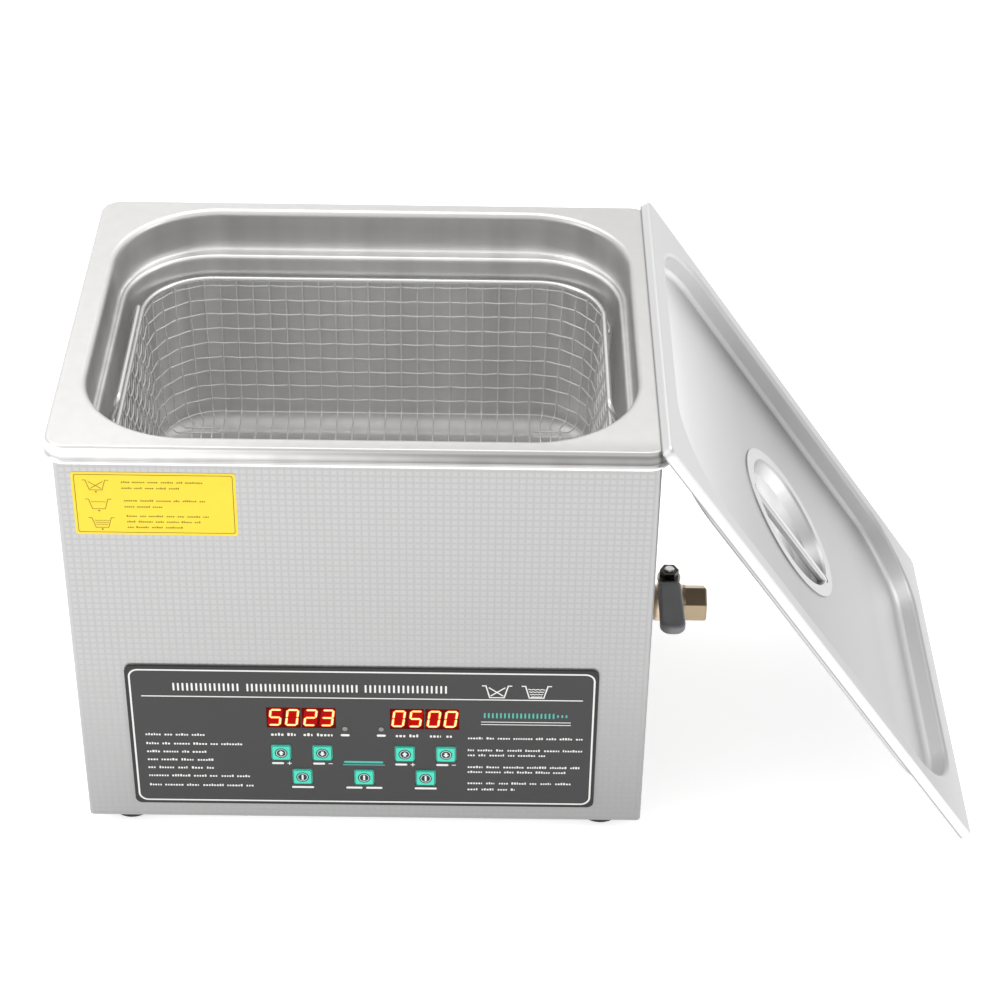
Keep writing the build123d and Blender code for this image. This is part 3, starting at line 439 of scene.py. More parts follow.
M["component_black"] = moulded("component_black", (0.03, 0.03, 0.035, 1), 0.42)
M["rocker_plastic"] = moulded("rocker_plastic", (0.03, 0.03, 0.03, 1), 0.22, 2000.0, 0.05)
M["panel_film"] = moulded("panel_film", lin(60, 60, 60), 0.48, 3800.0, 0.20, 0.00005, 0.04, 0.35)
M["fuse_glass"] = moulded("fuse_glass", (0.80, 0.82, 0.80, 1), 0.06, 1500.0, 0.02)
M["fuse_glass"].node_tree.nodes["Principled BSDF"].inputs["Transmission Weight"].default_value = 0.85
M["heater_silicone"] = moulded("heater_silicone", (0.36, 0.07, 0.03, 1), 0.6, 700.0, 0.3, 0.0001)
M["led_lens"] = moulded("led_lens", lin(128, 126, 124), 0.22, 1200.0, 0.05, 0.00004, 0.10, 0.5, 0.6)
M["key_teal"] = moulded("key_teal", lin(70, 220, 190), 0.42, 3800.0, 0.15, 0.00005, 0.05, 0.35)
M["sleeve_vinyl"] = moulded("sleeve_vinyl", lin(138, 139, 142), 0.40, 1500.0, 0.30, 0.00012, 0.10, 0.6, 0.20)
M["label_yellow"] = printed("label_yellow", lin(252, 219, 62), 0.45, 0.03)
M["piezo_ceramic"] = moulded("piezo_ceramic", (0.42, 0.39, 0.32, 1), 0.55)
M["ribbon_grey"] = moulded("ribbon_grey", (0.38, 0.39, 0.42, 1), 0.5)
M["gasket_rubber"] = moulded("gasket_rubber", (0.03, 0.03, 0.03, 1), 0.7)
M["foot_rubber"] = moulded("foot_rubber", (0.025, 0.025, 0.025, 1), 0.7, 1200.0, 0.3, 0.0001)
M["seat_plastic"] = moulded("seat_plastic", (0.82, 0.82, 0.80, 1), 0.4)
M["print_white"] = printed("print_white", lin(236, 236, 234), 0.5, 0.04)
M["print_teal"] = printed("print_teal", lin(84, 186, 172), 0.5, 0.05)
M["print_dark"] = printed("print_dark", lin(48, 48, 48), 0.5, 0.08)
M["print_icon"] = printed("print_icon", lin(18, 58, 60), 0.5, 0.08)
M["print_olive"] = printed("print_olive", lin(128, 112, 30), 0.5, 0.06)
M["display_window"] = glowing("display_window", (0.85, 0.0, 0.0, 1), 0.10, (0.05, 0.0, 0.0, 1))
M["digit_glow"] = glowing("digit_glow", (1.0, 0.0, 0.0, 1), 0.40, (0.10, 0.0, 0.0, 1))
M["digit_edge"] = glowing("digit_edge", (1.0, 0.09, 0.01, 1), 0.98, (0.5, 0.05, 0.0, 1))
M["digit_core"] = glowing("digit_core", (1.0, 0.80, 0.32, 1), 1.15, (0.8, 0.5, 0.2, 1))
for n in ("display_window", "digit_glow", "digit_edge", "digit_core"):
    M[n].node_tree.nodes["Principled BSDF"].inputs["Roughness"].default_value = 0.45
    M[n].node_tree.nodes["Principled BSDF"].inputs["Specular IOR Level"].default_value = 0.05

M["cup_steel"] = cup_metal("cup_steel")
# painted light: a lighter copy of the valve brass for the valve body, brightened to offset the shade it sits in beside
# the case
M["brass_painted_lighter"] = metal("brass_painted_lighter", (0.88, 0.72, 0.54, 1), 0.42, 1800.0, (1, 1, 1), 0.25, 0.10, 0.2)
M["nut_steel"] = metal("nut_steel", (0.075, 0.070, 0.065, 1), 0.24, 3000.0, (1, 1, 1), 0.15, 0.10)
M["stem_steel"] = metal("stem_steel", (0.85, 0.85, 0.84, 1), 0.22, 3000.0, (1, 1, 1), 0.05, 0.05)
slot_of = {s["node"]: s["material_slot"] for s in frame["record"]["subparts"]}
for name, obj in frame["nodes"].items():
    mat = M[{"lever_nut": "nut_steel", "valve_stem": "stem_steel", "valve_body": "brass_painted_lighter", "lid_handle_cup": "cup_steel"}.get(name, slot_of[name])]
    if not obj.data.materials:
        obj.data.materials.append(mat)
    for i in range(len(obj.material_slots)):
        obj.material_slots[i].material = mat

# ---------------------------------------------------------------------------
# Mesh helpers.  Lengths are millimetres here and metres in Blender.
# ---------------------------------------------------------------------------


def piece(name, bm, mat, body, smooth=False):
    bmesh.ops.recalc_face_normals(bm, faces=bm.faces)
    me = bpy.data.meshes.new(name)
    bm.to_mesh(me)
    bm.free()
    me.materials.append(M[mat])
    if smooth:
        for p in me.polygons:
            p.use_smooth = True
    ob = bpy.data.objects.new(name, me)
    scene.collection.objects.link(ob)
    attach(ob, body)
    return ob


def prism_xz(bm, pts, y0, y1):
    """Closed prism: outline pts (x, z), from y0 (outer) to y1 (inner)."""
    a = [bm.verts.new((x * MM, y0 * MM, z * MM)) for x, z in pts]
    b = [bm.verts.new((x * MM, y1 * MM, z * MM)) for x, z in pts]
    bm.faces.new(a)
    bm.faces.new(list(reversed(b)))
    n = len(pts)
    for i in range(n):
        j = (i + 1) % n
        bm.faces.new((a[j], a[i], b[i], b[j]))


def ring_xz(bm, outer, inner, y0, y1):
    n = len(outer)
    oa = [bm.verts.new((x * MM, y0 * MM, z * MM)) for x, z in outer]
    ia = [bm.verts.new((x * MM, y0 * MM, z * MM)) for x, z in inner]
    ob = [bm.verts.new((x * MM, y1 * MM, z * MM)) for x, z in outer]
    ib = [bm.verts.new((x * MM, y1 * MM, z * MM)) for x, z in inner]
    for i in range(n):
        j = (i + 1) % n
        bm.faces.new((oa[i], oa[j], ia[j], ia[i]))
        bm.faces.new((ob[j], ob[i], ib[i], ib[j]))
        bm.faces.new((oa[j], oa[i], ob[i], ob[j]))
        bm.faces.new((ia[i], ia[j], ib[j], ib[i]))


def rrect(x0, x1, z0, z1, r, n=5):
    r = max(min(r, (x1 - x0) / 2 - 1e-4, (z1 - z0) / 2 - 1e-4), 1e-3)
    pts = []
    for cx, cz, a0 in ((x1 - r, z1 - r, 0), (x0 + r, z1 - r, 90), (x0 + r, z0 + r, 180), (x1 - r, z0 + r, 270)):
        for i in range(n + 1):
            a = math.radians(a0 + 90 * i / n)
            pts.append((cx + r * math.cos(a), cz + r * math.sin(a)))
    return pts


def circle(cx, cz, r, n=28, squash=1.0):
    return [(cx + r * math.cos(2 * math.pi * i / n), cz + squash * r * math.sin(2 * math.pi * i / n)) for i in range(n)]


def stroke(bm, pts, w, y0, y1, closed=False):
    """A line of width w along pts, mitred at its corners, as one closed strip."""
    n = len(pts)
    left, rightside = [], []
    for i in range(n):
        p = Vector(pts[i])
        if closed:
            a, b = Vector(pts[i - 1]), Vector(pts[(i + 1) % n])
        else:
            a = Vector(pts[max(i - 1, 0)])
            b = Vector(pts[min(i + 1, n - 1)])
        d1 = (p - a).normalized() if (p - a).length > 1e-9 else (b - p).normalized()
        d2 = (b - p).normalized() if (b - p).length > 1e-9 else d1
        t = (d1 + d2).normalized()
        nn = Vector((-t.y, t.x))
        k = 1.0 / max(nn.dot(Vector((-d1.y, d1.x))), 0.5)
        left.append(p + nn * (w / 2 * k))
        rightside.append(p - nn * (w / 2 * k))
    if closed:
        ring_xz(bm, [tuple(v) for v in rightside], [tuple(v) for v in left], y0, y1)
    else:
        prism_xz(bm, [tuple(v) for v in left] + [tuple(v) for v in reversed(rightside)], y0, y1)


# ---------------------------------------------------------------------------
# Woven basket: crimped wires, 1 mm thick on a 10 mm pitch
# ---------------------------------------------------------------------------
BX, BY, BR, DRAFT = 137.5, 106.5, 40.0, 5.0
B_TOP, B_FLOOR, B_FIL = 231.45, 138.45, 7.5
CX, CY = BX - BR, BY - BR
WIRE, AMP = 0.5, 0.42


def lean_in(z):
    return DRAFT * (B_TOP - z) / (B_TOP - B_FLOOR)


def inset(h):
    return 0.0 if h >= B_FIL else B_FIL - math.sqrt(max(B_FIL ** 2 - (B_FIL - h) ** 2, 0.0))


XS = [-95 + 10 * i for i in range(20)]
YS = [-65 + 10 * i for i in range(14)]
CORNER = 6
SIDES = [20, CORNER, 14, CORNER, 20, CORNER, 14, CORNER]
TOTAL = sum(SIDES)


def around(u, z, off=0.0):
    """Point and outward direction on the tub's wall at height z, at wire index u; off moves it outward."""
    h = z - B_FLOOR
    hx = BX - lean_in(z) - inset(h)
    hy = BY - lean_in(z) - inset(h)
    r = hx - CX
    u = u % TOTAL
    spans = [("x", -1, XS), ("c", (1, -1), None), ("y", 1, YS), ("c", (1, 1), None),
             ("x", 1, XS[::-1]), ("c", (-1, 1), None), ("y", -1, YS[::-1]), ("c", (-1, -1), None)]
    k = 0
    for (kind, s, vals), n in zip(spans, SIDES):
        length = n - 1 if kind != "c" else n + 1
        if u <= length + 1e-9:
            break
        u -= length
        k += 1
    else:
        u = length
    if kind == "x":
        x = vals[0] + (vals[1] - vals[0]) * u
        return (x, s * hy + s * off), (0.0, float(s))
    if kind == "y":
        y = vals[0] + (vals[1] - vals[0]) * u
        return (s * hx + s * off, y), (float(s), 0.0)
    # corner: short straight, arc, short straight
    sx, sy = s
    f = u / (CORNER + 1)
    e1 = CX - 95.0
    e2 = CY - 65.0
    first_x = sx * sy < 0            # the run comes along a y = const wall first
    a1, a2 = (e1, e2) if first_x else (e2, e1)
    arc = r * math.pi / 2
    d = f * (a1 + arc + a2)
    if first_x:
        if d < a1:
            return (sx * (95.0 + d), sy * (hy + off)), (0.0, float(sy))
        if d < a1 + arc:
            t = (d - a1) / r
            ca, sa = math.sin(t), math.cos(t)
            return (sx * (CX + (r + off) * ca), sy * (CY + (r + off) * sa)), (sx * ca, sy * sa)
        return (sx * (hx + off), sy * (CY - (d - a1 - arc))), (float(sx), 0.0)
    if d < a1:
        return (sx * (hx + off), sy * (65.0 + d)), (float(sx), 0.0)
    if d < a1 + arc:
        t = (d - a1) / r
        ca, sa = math.cos(t), math.sin(t)
        return (sx * (CX + (r + off) * ca), sy * (CY + (r + off) * sa)), (sx * ca, sy * sa)
    return (sx * (CX - (d - a1 - arc)), sy * (hy + off)), (0.0, float(sy))


def tube(bm, pts, r, closed=False, sides=6):
    n = len(pts)
    P = [Vector(p) for p in pts]
    rings = []
    ref = None
    for i in range(n):
        a = P[i - 1] if (closed or i > 0) else P[i]
        b = P[(i + 1) % n] if (closed or i < n - 1) else P[i]
        t = (b - a).normalized()
        if ref is None:
            ref = Vector((0, 0, 1)) if abs(t.z) < 0.9 else Vector((1, 0, 0))
        ref = (ref - t * ref.dot(t)).normalized()
        w = t.cross(ref)
        rings.append([bm.verts.new((P[i] + ref * (r * math.cos(2 * math.pi * k / sides))
                                    + w * (r * math.sin(2 * math.pi * k / sides))) * MM) for k in range(sides)])
    last = n if closed else n - 1
    for i in range(last):
        A, B = rings[i], rings[(i + 1) % n]
        shift = 0
        if closed and i == n - 1:
            best = 1e9
            for s in range(sides):
                dd = sum((A[k].co - B[(k + s) % sides].co).length for k in range(sides))
                if dd < best:
                    best, shift = dd, s
        for k in range(sides):
            k2 = (k + 1) % sides
            bm.faces.new((A[k], A[k2], B[(k2 + shift) % sides], B[(k + shift) % sides]))
    if not closed:
        bm.faces.new(list(reversed(rings[0])))
        bm.faces.new(rings[-1])


def smooth_step(a, b, x):
    t = min(max((x - a) / (b - a), 0.0), 1.0)
    return t * t * (3 - 2 * t)


rng = random.Random(7)
bm = bmesh.new()
# rings round the wall
for k in range(1, 10):
    z = B_FLOOR + 10.0 * k
    wob = rng.uniform(-0.35, 0.35)
    pts = []
    for i in range(TOTAL * 4):
        u = i / 4.0
        off = -AMP * math.cos(math.pi * (u + k))
        (x, y), _ = around(u, z, off)
        pts.append((x, y, z + wob * math.sin(2 * math.pi * u / TOTAL + k)))
    tube(bm, pts, WIRE, closed=True)
z = B_FLOOR + B_FIL * (1 - math.sin(math.pi / 4))
tube(bm, [(*around(i / 3.0, z, 0.0)[0], z) for i in range(TOTAL * 3)], WIRE, closed=True)


def wall_profile(index, z_from, z_to, step=2.0):
    """Points on one wall wire from high to low, crimped."""
    out = []
    n = max(int(abs(z_from - z_to) / step), 2)
    for i in range(n + 1):
        zz = z_from + (z_to - z_from) * i / n
        h = zz - B_FLOOR
        win = smooth_step(2.0, 8.0, h)
        off = AMP * win * math.cos(math.pi * (h / 10.0 + index))
        (x, y), _ = around(index, zz, off)
        out.append((x, y, zz))
    return out


def fillet_part(index, n=6):
    out = []
    for i in range(1, n + 1):
        a = math.pi / 2 * i / n
        h = B_FIL * (1 - math.sin(a))
        (x, y), _ = around(index, B_FLOOR + h, 0.0)
        out.append((x, y, B_FLOOR + h))
    return out


index_of = {}
k = 0
for side, n in enumerate(SIDES):
    if side in (0, 4):
        for i in range(n):
            index_of[("x", side, i)] = k + i
        k += n - 1
    elif side in (2, 6):
        for i in range(n):
            index_of[("y", side, i)] = k + i
        k += n - 1
    else:
        for i in range(1, n + 1):
            index_of[("c", side, i)] = k + i
        k += n + 1
TOP_Z = 232.7
# wires that run front to back
for i, x in enumerate(XS):
    f_i, b_i = index_of[("x", 0, i)], index_of[("x", 4, 19 - i)]
    down = wall_profile(f_i, TOP_Z, B_FLOOR + B_FIL) + fillet_part(f_i)
    up_ = wall_profile(b_i, TOP_Z, B_FLOOR + B_FIL) + fillet_part(b_i)
    y_a, y_b = down[-1][1], up_[-1][1]
    nfl = 76
    mid = []
    for j in range(1, nfl):
        y = y_a + (y_b - y_a) * j / nfl
        win = smooth_step(0, 8, y - y_a) * smooth_step(0, 8, y_b - y)
        mid.append((x, y, B_FLOOR + AMP * win * math.cos(math.pi * ((y - 5) / 10.0 + i))))
    tube(bm, down + mid + up_[::-1], WIRE)
# wires that run left to right
for i, y in enumerate(YS):
    r_i, l_i = index_of[("y", 2, i)], index_of[("y", 6, 13 - i)]
    down = wall_profile(l_i, TOP_Z, B_FLOOR + B_FIL) + fillet_part(l_i)
    up_ = wall_profile(r_i, TOP_Z, B_FLOOR + B_FIL) + fillet_part(r_i)
    x_a, x_b = down[-1][0], up_[-1][0]
    nfl = 100
    mid = []
    for j in range(1, nfl):
        x = x_a + (x_b - x_a) * j / nfl
        win = smooth_step(0, 8, x - x_a) * smooth_step(0, 8, x_b - x)
        mid.append((x, y, B_FLOOR - AMP * win * math.cos(math.pi * ((x - 5) / 10.0 + i))))
    tube(bm, down + mid + up_[::-1], WIRE)
# corner wires: down the wall, round the bottom, in to the last straight wires
for side, (sx, sy) in ((1, (1, -1)), (3, (1, 1)), (5, (-1, 1)), (7, (-1, -1))):
    for i in range(1, CORNER + 1):
        idx = index_of[("c", side, i)]
        pts = wall_profile(idx, TOP_Z, B_FLOOR + B_FIL) + fillet_part(idx)
        ex, ey, ez = pts[-1]
        # carry on inwards, parallel to whichever straight wires are nearer
        dx, dy = abs(ex) - CX, abs(ey) - CY
        if dx > dy:
            pts += [(ex - sx * t, ey, ez + 0.2) for t in (4.0, 8.0, max(dx, 9.0))]
        else:
            pts += [(ex, ey - sy * t, ez - 0.2) for t in (4.0, 8.0, max(dy, 9.0))]
        tube(bm, pts, WIRE)
basket = piece("basket_wires", bm, "mesh_steel", "basket", smooth=True)
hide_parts("basket_mesh")

# ---------------------------------------------------------------------------
# Embossed steel skin: rows of small raised squares
# ---------------------------------------------------------------------------


def pillow_axis(a, b):
    n = int((b - a) // PITCH)
    start = (a + b) / 2 - n * PITCH / 2
    vals = [(a, 0)]
    for i in range(n):
        for s in STEPS:
            vals.append((start + (i + s) * PITCH, 0 if s == 0 else 1))
    vals.append((start + n * PITCH, 0))
    vals.append((b, 0))
    out = [vals[0]]
    for v in vals[1:]:
        if v[0] - out[-1][0] > 0.05:
            out.append(v)
    return out


def skin(name, place, u_range, v_range, flat_zones, mat):
    """A closed slab: embossed outside, flat inside the sheet's thickness."""
    us, vs = pillow_axis(*u_range), pillow_axis(*v_range)
    verts, faces = [], []
    nu, nv = len(us), len(vs)
    for v, fv in vs:
        for u, fu in us:
            h = 0.03 + EMB * fu * fv
            for (a, b, c, d) in flat_zones:
                if a - 1.0 < u < b + 1.0 and c - 1.0 < v < d + 1.0:
                    h = 0.03
            verts.append(place(u, v, h))
    for j in range(nv - 1):
        for i in range(nu - 1):
            k = j * nu + i
            faces.append((k, k + 1, k + nu + 1, k + nu))
    # rim: down into the sheet and across the back
    loop = [i for i in range(nu)] + [j * nu + nu - 1 for j in range(1, nv)] \
        + [(nv - 1) * nu + i for i in range(nu - 2, -1, -1)] + [j * nu for j in range(nv - 2, 0, -1)]
    base = len(verts)
    flat = [(u, v) for v, _ in vs for u, _ in us]
    for k in loop:
        verts.append(place(flat[k][0], flat[k][1], -0.4))
    n = len(loop)
    for i in range(n):
        j = (i + 1) % n
        faces.append((loop[j], loop[i], base + i, base + j))
    faces.append(tuple(base + i for i in range(n - 1, -1, -1)))
    me = bpy.data.meshes.new(name)
    me.from_pydata([(x * MM, y * MM, z * MM) for x, y, z in verts], [], faces)
    me.update()
    bmm = bmesh.new()
    bmm.from_mesh(me)
    bmesh.ops.recalc_face_normals(bmm, faces=bmm.faces)
    bmm.to_mesh(me)
    bmm.free()
    me.materials.append(M[mat])
    for p in me.polygons:
        p.use_smooth = p.index < (nu - 1) * (nv - 1)
    ob = bpy.data.objects.new(name, me)
    scene.collection.objects.link(ob)
    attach(ob, "cleaner")
    return ob


YF = -126.0
skin("case_skin_front", lambda u, v, h: (u, YF - h, v), FRONT_X, SKIN_Z,
     [(-133, 133, 19, 122), (-151.7, -64.7, 213, 254)], "case_front")
skin("case_skin_left", lambda u, v, h: (-161.0 - h, u, v), SIDE_Y, SKIN_Z, [], "case_side")
skin("case_skin_right", lambda u, v, h: (161.0 + h, u, v), SIDE_Y, SKIN_Z,
     [(-12, 12, 59, 83)], "case_side")

# ---------------------------------------------------------------------------
# Control panel print
# ---------------------------------------------------------------------------
PY = -127.4
A, B = PY - 0.05, PY + 0.05


def inset_rect(d, r):
    return rrect(-133 + d, 133 - d, 19 + d, 122 - d, r, 8)


bm = bmesh.new()
ring_xz(bm, inset_rect(2.0, 5.6), inset_rect(3.0, 4.6), A, B)
stroke(bm, [(-124.5, 100.4), (124.3, 100.4)], 0.7, A, B)


def bar(bm, x0, x1, z, h, y0=A, y1=B):
    prism_xz(bm, rrect(x0, x1, z - h / 2, z + h / 2, h / 2, 3), y0, y1)


def words(bm, x0, x1, z, h, seed, lo=4.0, hi=12.0, gap=1.5, y0=A, y1=B):
    """A line of stand-in print: words made of small plain blocks."""
    r = random.Random(seed)
    x = x0
    while x < x1 - 1.0:
        e = min(x + r.uniform(lo, hi), x1)
        if x1 - e < lo:
            e = x1
        while x < e - 0.5:
            w = r.uniform(0.65, 1.0) * h
            t = h * r.choice((1.0, 1.0, 1.0, 1.35))
            prism_xz(bm, rrect(x, min(x + w, e), z - h / 2, z - h / 2 + t, 0.16 * h, 1), y0, y1)
            x += w + 0.42 * h
        x = max(x, e) + gap


# heading: three words of plain upright strokes
for x0, x1 in ((-106.5, -69.5), (-65.0, -2.6), (1.4, 47.6)):
    n_ = int((x1 - x0) / 2.6)
    for i in range(n_ + 1):
        x = x0 + (x1 - x0 - 1.05) * i / n_
        prism_xz(bm, rrect(x, x + 1.05, 104.6, 110.2, 0.4, 2), A, B)
# left and right blocks of lines
for i, (z, e) in enumerate(((70.6, -90), (63.8, -69), (57.7, -90), (51.6, -86), (45.5, -86), (39.3, -66), (32.1, -63.7))):
    words(bm, -124.0, e, z + 1.0, 1.25, 10 + i)
for i, (z, e) in enumerate(((70.4, 125.5), (61.3, 126), (57.5, 104), (48.4, 124), (44.6, 116), (35.9, 120), (31.1, 87))):
    words(bm, 59.7, e, z + 1.0, 1.2, 30 + i)
# captions below displays, lamps and keys
for x0, x1 in ((-52.5, -38.5), (-34.0, -17.5), (18.5, 31.5), (38.0, 51.5)):
    words(bm, x0, x1, 72.5, 1.6, int(x0 * 3) + 300, 5.0, 8.0)
for x in (-10.3, 10.3):
    bar(bm, x - 2.6, x + 2.6, 72.7, 1.6)
KEYS = {"key_temp_up": (-47.2, 59.1), "key_temp_down": (-23.6, 59.1), "key_heat_power": (-35.5, 40.8),
        "key_frequency": (0.0, 40.8), "key_time_up": (23.6, 59.1), "key_time_down": (47.2, 59.1),
        "key_timer_power": (35.5, 40.8)}
for key, (x, z) in KEYS.items():
    half = 10.5 if key == "key_frequency" else (6.4 if "power" in key else 5.6)
    bar(bm, x - half, x + half * (0.25 if "power" not in key else 1.0) if key != "key_frequency" else x - 1.0,
        z - 8.3, 1.45)
    if key == "key_frequency":
        bar(bm, x + 1.0, x + half, z - 8.3, 1.45)
    elif "power" not in key:
        stroke(bm, [(x + 3.3, z - 8.3), (x + 5.7, z - 8.3)], 0.5, A, B)
        if key.endswith("up"):
            stroke(bm, [(x + 4.5, z - 9.5), (x + 4.5, z - 7.1)], 0.5, A - 0.004, B)


def pictogram(bm, cx, cz, w, h, t, y0, y1, crossed=False, waves=0, low=0):
    """A tank outline, wider at its top, with ears, a cross or water lines."""
    hw, hh = w / 2, h / 2
    stroke(bm, [(cx - hw, cz + hh), (cx - hw * 0.74, cz + hh), (cx - hw * 0.48, cz - hh),
                (cx + hw * 0.48, cz - hh), (cx + hw * 0.74, cz + hh), (cx + hw, cz + hh)], t, y0, y1)
    if crossed:
        stroke(bm, [(cx - hw * 0.42, cz - hh * 0.72), (cx + hw * 0.55, cz + hh * 0.72)], t, y0 - 0.004, y1)
        stroke(bm, [(cx + hw * 0.42, cz - hh * 0.72), (cx - hw * 0.55, cz + hh * 0.72)], t, y0 - 0.008, y1)
    for i in range(waves):
        z = cz + hh * (0.45 - 0.42 * i)
        hwz = hw * (0.5 + 0.16 * (z - cz) / hh)
        pts = [(cx - hwz + 2 * hwz * j / 16, z + 0.35 * h / 12 * math.sin(j * math.pi / 2 + i)) for j in range(17)]
        stroke(bm, pts, t * 0.75, y0 - 0.004, y1)


pictogram(bm, 75.8, 106.4, 17.0, 8.6, 0.7, A, B, crossed=True)
pictogram(bm, 98.1, 106.4, 17.0, 8.6, 0.7, A, B, waves=4)
stroke(bm, [(67.0, 83.9), (118.0, 83.9)], 0.5, A, B)
stroke(bm, [(67.0, 82.0), (118.0, 82.0)], 0.5, A, B)
piece("panel_print_white", bm, "print_white", "cleaner")

bm = bmesh.new()
n_ = 17
for i in range(n_ + 1):
    x = 68.6 + (39.9 - 0.9) * i / n_
    prism_xz(bm, rrect(x, x + 0.95, 86.8, 90.6, 0.35, 2), A, B)
for x in (110.6, 113.0, 115.4):
    bar(bm, x - 0.5, x + 0.5, 88.6, 2.2)
stroke(bm, [(-12.0, 50.2), (12.0, 50.2)], 0.6, A, B)
bar(bm, -11.4, 11.2, 52.3, 1.5)
piece("panel_print_teal", bm, "print_teal", "cleaner")

bm = bmesh.new()
ring_xz(bm, inset_rect(0.25, 4.0), inset_rect(1.55, 5.0), A + 0.02, B)
piece("panel_print_edge", bm, "print_dark", "cleaner")

# ---------------------------------------------------------------------------
# Seven-segment digits, two in each window
# ---------------------------------------------------------------------------
SEG = {"0": "abcdef", "1": "bc", "2": "abged", "3": "abgcd", "4": "fgbc", "5": "afgcd", "8": "abcdefg"}
DW, DH, ST, SLANT = 6.0, 11.2, 0.95, 0.12
WY = -127.2                       # front of the windows


def segment_points(cx, cz, seg, grow=0.0):
    hw, hh, t = DW / 2, DH / 2, ST / 2 + grow
    g = 0.22 - grow * 0.6
    ends = {"a": ((-hw, hh), (hw, hh)), "g": ((-hw, 0), (hw, 0)), "d": ((-hw, -hh), (hw, -hh)),
            "f": ((-hw, 0), (-hw, hh)), "b": ((hw, 0), (hw, hh)), "e": ((-hw, -hh), (-hw, 0)), "c": ((hw, -hh), (hw, 0))}[seg]
    (x0, z0), (x1, z1) = ends
    if z0 == z1:
        x0, x1 = x0 + g, x1 - g
        pts = [(x0, z0), (x0 + t, z0 + t), (x1 - t, z0 + t), (x1, z0), (x1 - t, z0 - t), (x0 + t, z0 - t)]
    else:
        z0, z1 = z0 + g, z1 - g
        pts = [(x0, z0), (x0 - t, z0 + t), (x0 - t, z1 - t), (x0, z1), (x0 + t, z1 - t), (x0 + t, z0 + t)]
    return [(cx + x + SLANT * z, cz + z) for x, z in pts]


core, edge, glow = bmesh.new(), bmesh.new(), bmesh.new()
for cx, text in ((-45.0, "50"), (-25.0, "23"), (25.0, "05"), (45.0, "00")):
    for dx, ch in zip((-4.7, 4.9), text):
        x, z = cx + dx, 85.4
        for s in SEG[ch]:
            prism_xz(core, segment_points(x, z, s), WY - 0.10, WY - 0.02)
            prism_xz(edge, segment_points(x, z, s, 0.42), WY - 0.06 - 0.001 * "abcdefg".index(s), WY)
        halo = [(px + SLANT * (pz - z), pz) for px, pz in rrect(x - DW / 2 - 0.9, x + DW / 2 + 0.9,
                                                                z - DH / 2 - 0.9, z + DH / 2 + 0.9, 1.6, 4)]
        prism_xz(glow, [(max(min(px, cx + 9.5), cx - 9.5), pz) for px, pz in halo], WY - 0.02, WY + 0.05)
piece("digit_segments", core, "digit_core", "cleaner")
piece("digit_edges", edge, "digit_edge", "cleaner")
piece("digit_halo", glow, "digit_glow", "cleaner")

# ---------------------------------------------------------------------------
# Key icons ride on their keys
# ---------------------------------------------------------------------------
for key, (x, z) in KEYS.items():
    ky = -126.0 - 1.4 - 0.7
    bm = bmesh.new()
    ring_xz(bm, circle(x, z, 3.6), circle(x, z, 2.95), ky - 0.04, ky + 0.04)
    prism_xz(bm, circle(x, z, 2.55), ky - 0.04, ky + 0.04)
    o1 = rrect(x - 5.35, x + 5.35, z - 5.35, z + 5.35, 1.3, 5)
    i1 = rrect(x - 5.05, x + 5.05, z - 5.05, z + 5.05, 1.05, 5)
    ring_xz(bm, o1, i1, ky - 0.03, ky + 0.2)
    piece(key + "_icon", bm, "print_icon", key)
    bm = bmesh.new()
    if "power" in key or key == "key_frequency":
        prism_xz(bm, rrect(x - 0.55, x + 0.55, z - 1.9, z + 1.9, 0.3, 3), ky - 0.08, ky)
    else:
        s = 1.0 if key.endswith("up") else -1.0
        prism_xz(bm, [(x, z + s * 1.9), (x - 1.6, z), (x - 0.75, z), (x - 0.75, z - s * 1.5),
                      (x + 0.75, z - s * 1.5), (x + 0.75, z), (x + 1.6, z)], ky - 0.08, ky)
    ring_xz(bm, circle(x, z, 2.95), circle(x, z, 2.62), ky - 0.05, ky + 0.02)
    piece(key + "_mark", bm, "print_white", key)

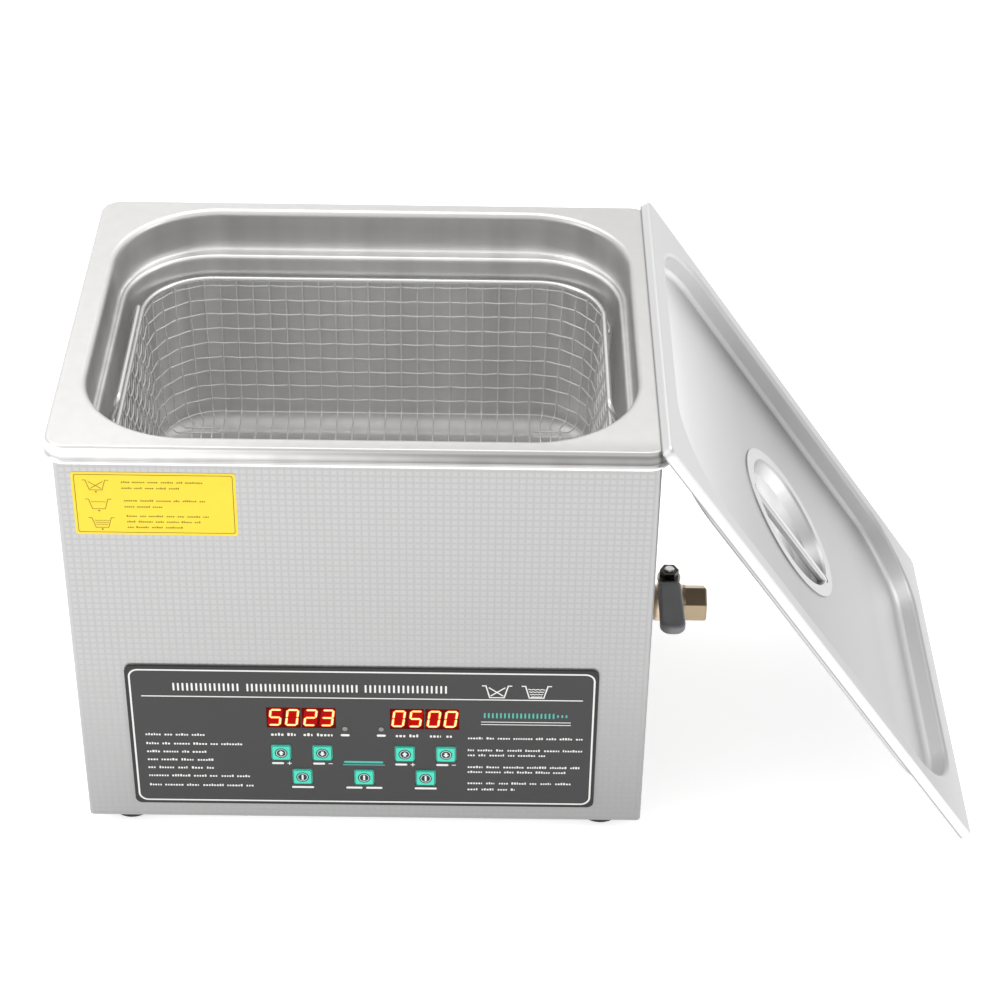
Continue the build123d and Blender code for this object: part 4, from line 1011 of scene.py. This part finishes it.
# ---------------------------------------------------------------------------
# Yellow notice
# ---------------------------------------------------------------------------
LY = -126.25
a, b = LY - 0.03, LY + 0.05
bm = bmesh.new()
ring_xz(bm, rrect(-150.3, -66.1, 214.4, 252.6, 1.2, 4), rrect(-149.9, -66.5, 214.8, 252.2, 1.0, 4), a, b)
pictogram(bm, -139.0, 245.6, 14.0, 6.4, 0.40, a, b, crossed=True)
pictogram(bm, -138.2, 233.2, 14.0, 6.4, 0.40, a, b, waves=1)
pictogram(bm, -137.3, 220.9, 14.0, 6.4, 0.40, a, b, waves=3)
for cx, cz in ((-139.0, 241.2), (-138.2, 228.8), (-137.3, 216.5)):
    prism_xz(bm, circle(cx, cz, 0.55, 10), a, b)
for i, (z, x0, x1) in enumerate(((247.6, -125.3, -82.0), (243.7, -125.3, -94.5), (235.5, -124.5, -81.3), (231.5, -124.5, -104.0),
                                 (225.3, -123.8, -80.0), (221.6, -123.8, -84.0), (217.9, -123.8, -94.0))):
    words(bm, x0, x1, z, 0.95, 60 + i, 3.0, 8.0, 1.1, a, b)
piece("notice_print", bm, "print_olive", "cleaner")

# ---------------------------------------------------------------------------
# Floor and light
# ---------------------------------------------------------------------------
bm = bmesh.new()
bmesh.ops.create_grid(bm, x_segments=1, y_segments=1, size=12.0)
me = bpy.data.meshes.new("floor")
bm.to_mesh(me)
bm.free()
k = Mat("floor_pale")
k.set(metallic=0.0, rough=0.65, spec=0.2)
n = k.noise(3.0)
k.colour(k.mixcol(n, (0.88, 0.88, 0.88, 1), (0.90, 0.90, 0.90, 1)))
k.set(emit=0.62, emit_col=(1.0, 1.0, 1.0, 1.0))
me.materials.append(k.m)
floor = bpy.data.objects.new("floor", me)
floor.location = (0, 0, -0.0002)
scene.collection.objects.link(floor)

world = bpy.data.worlds.new("studio")
world.use_nodes = True
bg = world.node_tree.nodes["Background"]
bg.inputs["Color"].default_value = (1.0, 1.0, 1.0, 1)
bg.inputs["Strength"].default_value = 0.80
scene.world = world


def area(name, pos, target, size, power, size_y=None):
    d = bpy.data.lights.new(name, "AREA")
    d.shape = "RECTANGLE"
    d.size = size
    d.size_y = size_y or size
    d.energy = power
    ob = bpy.data.objects.new(name, d)
    ob.location = pos
    v = Vector(target) - Vector(pos)
    ob.rotation_euler = v.to_track_quat("-Z", "Y").to_euler()
    scene.collection.objects.link(ob)


area("softbox_top", (0.0, 0.55, 1.7), (0.05, 0.0, 0.15), 1.6, 9.0, 1.1)
area("softbox_left", (-1.5, -0.7, 1.0), (0.0, 0.0, 0.15), 0.9, 4.0, 1.2)
area("softbox_right", (1.7, -0.3, 1.1), (0.1, 0.0, 0.15), 0.8, 3.0, 1.2)
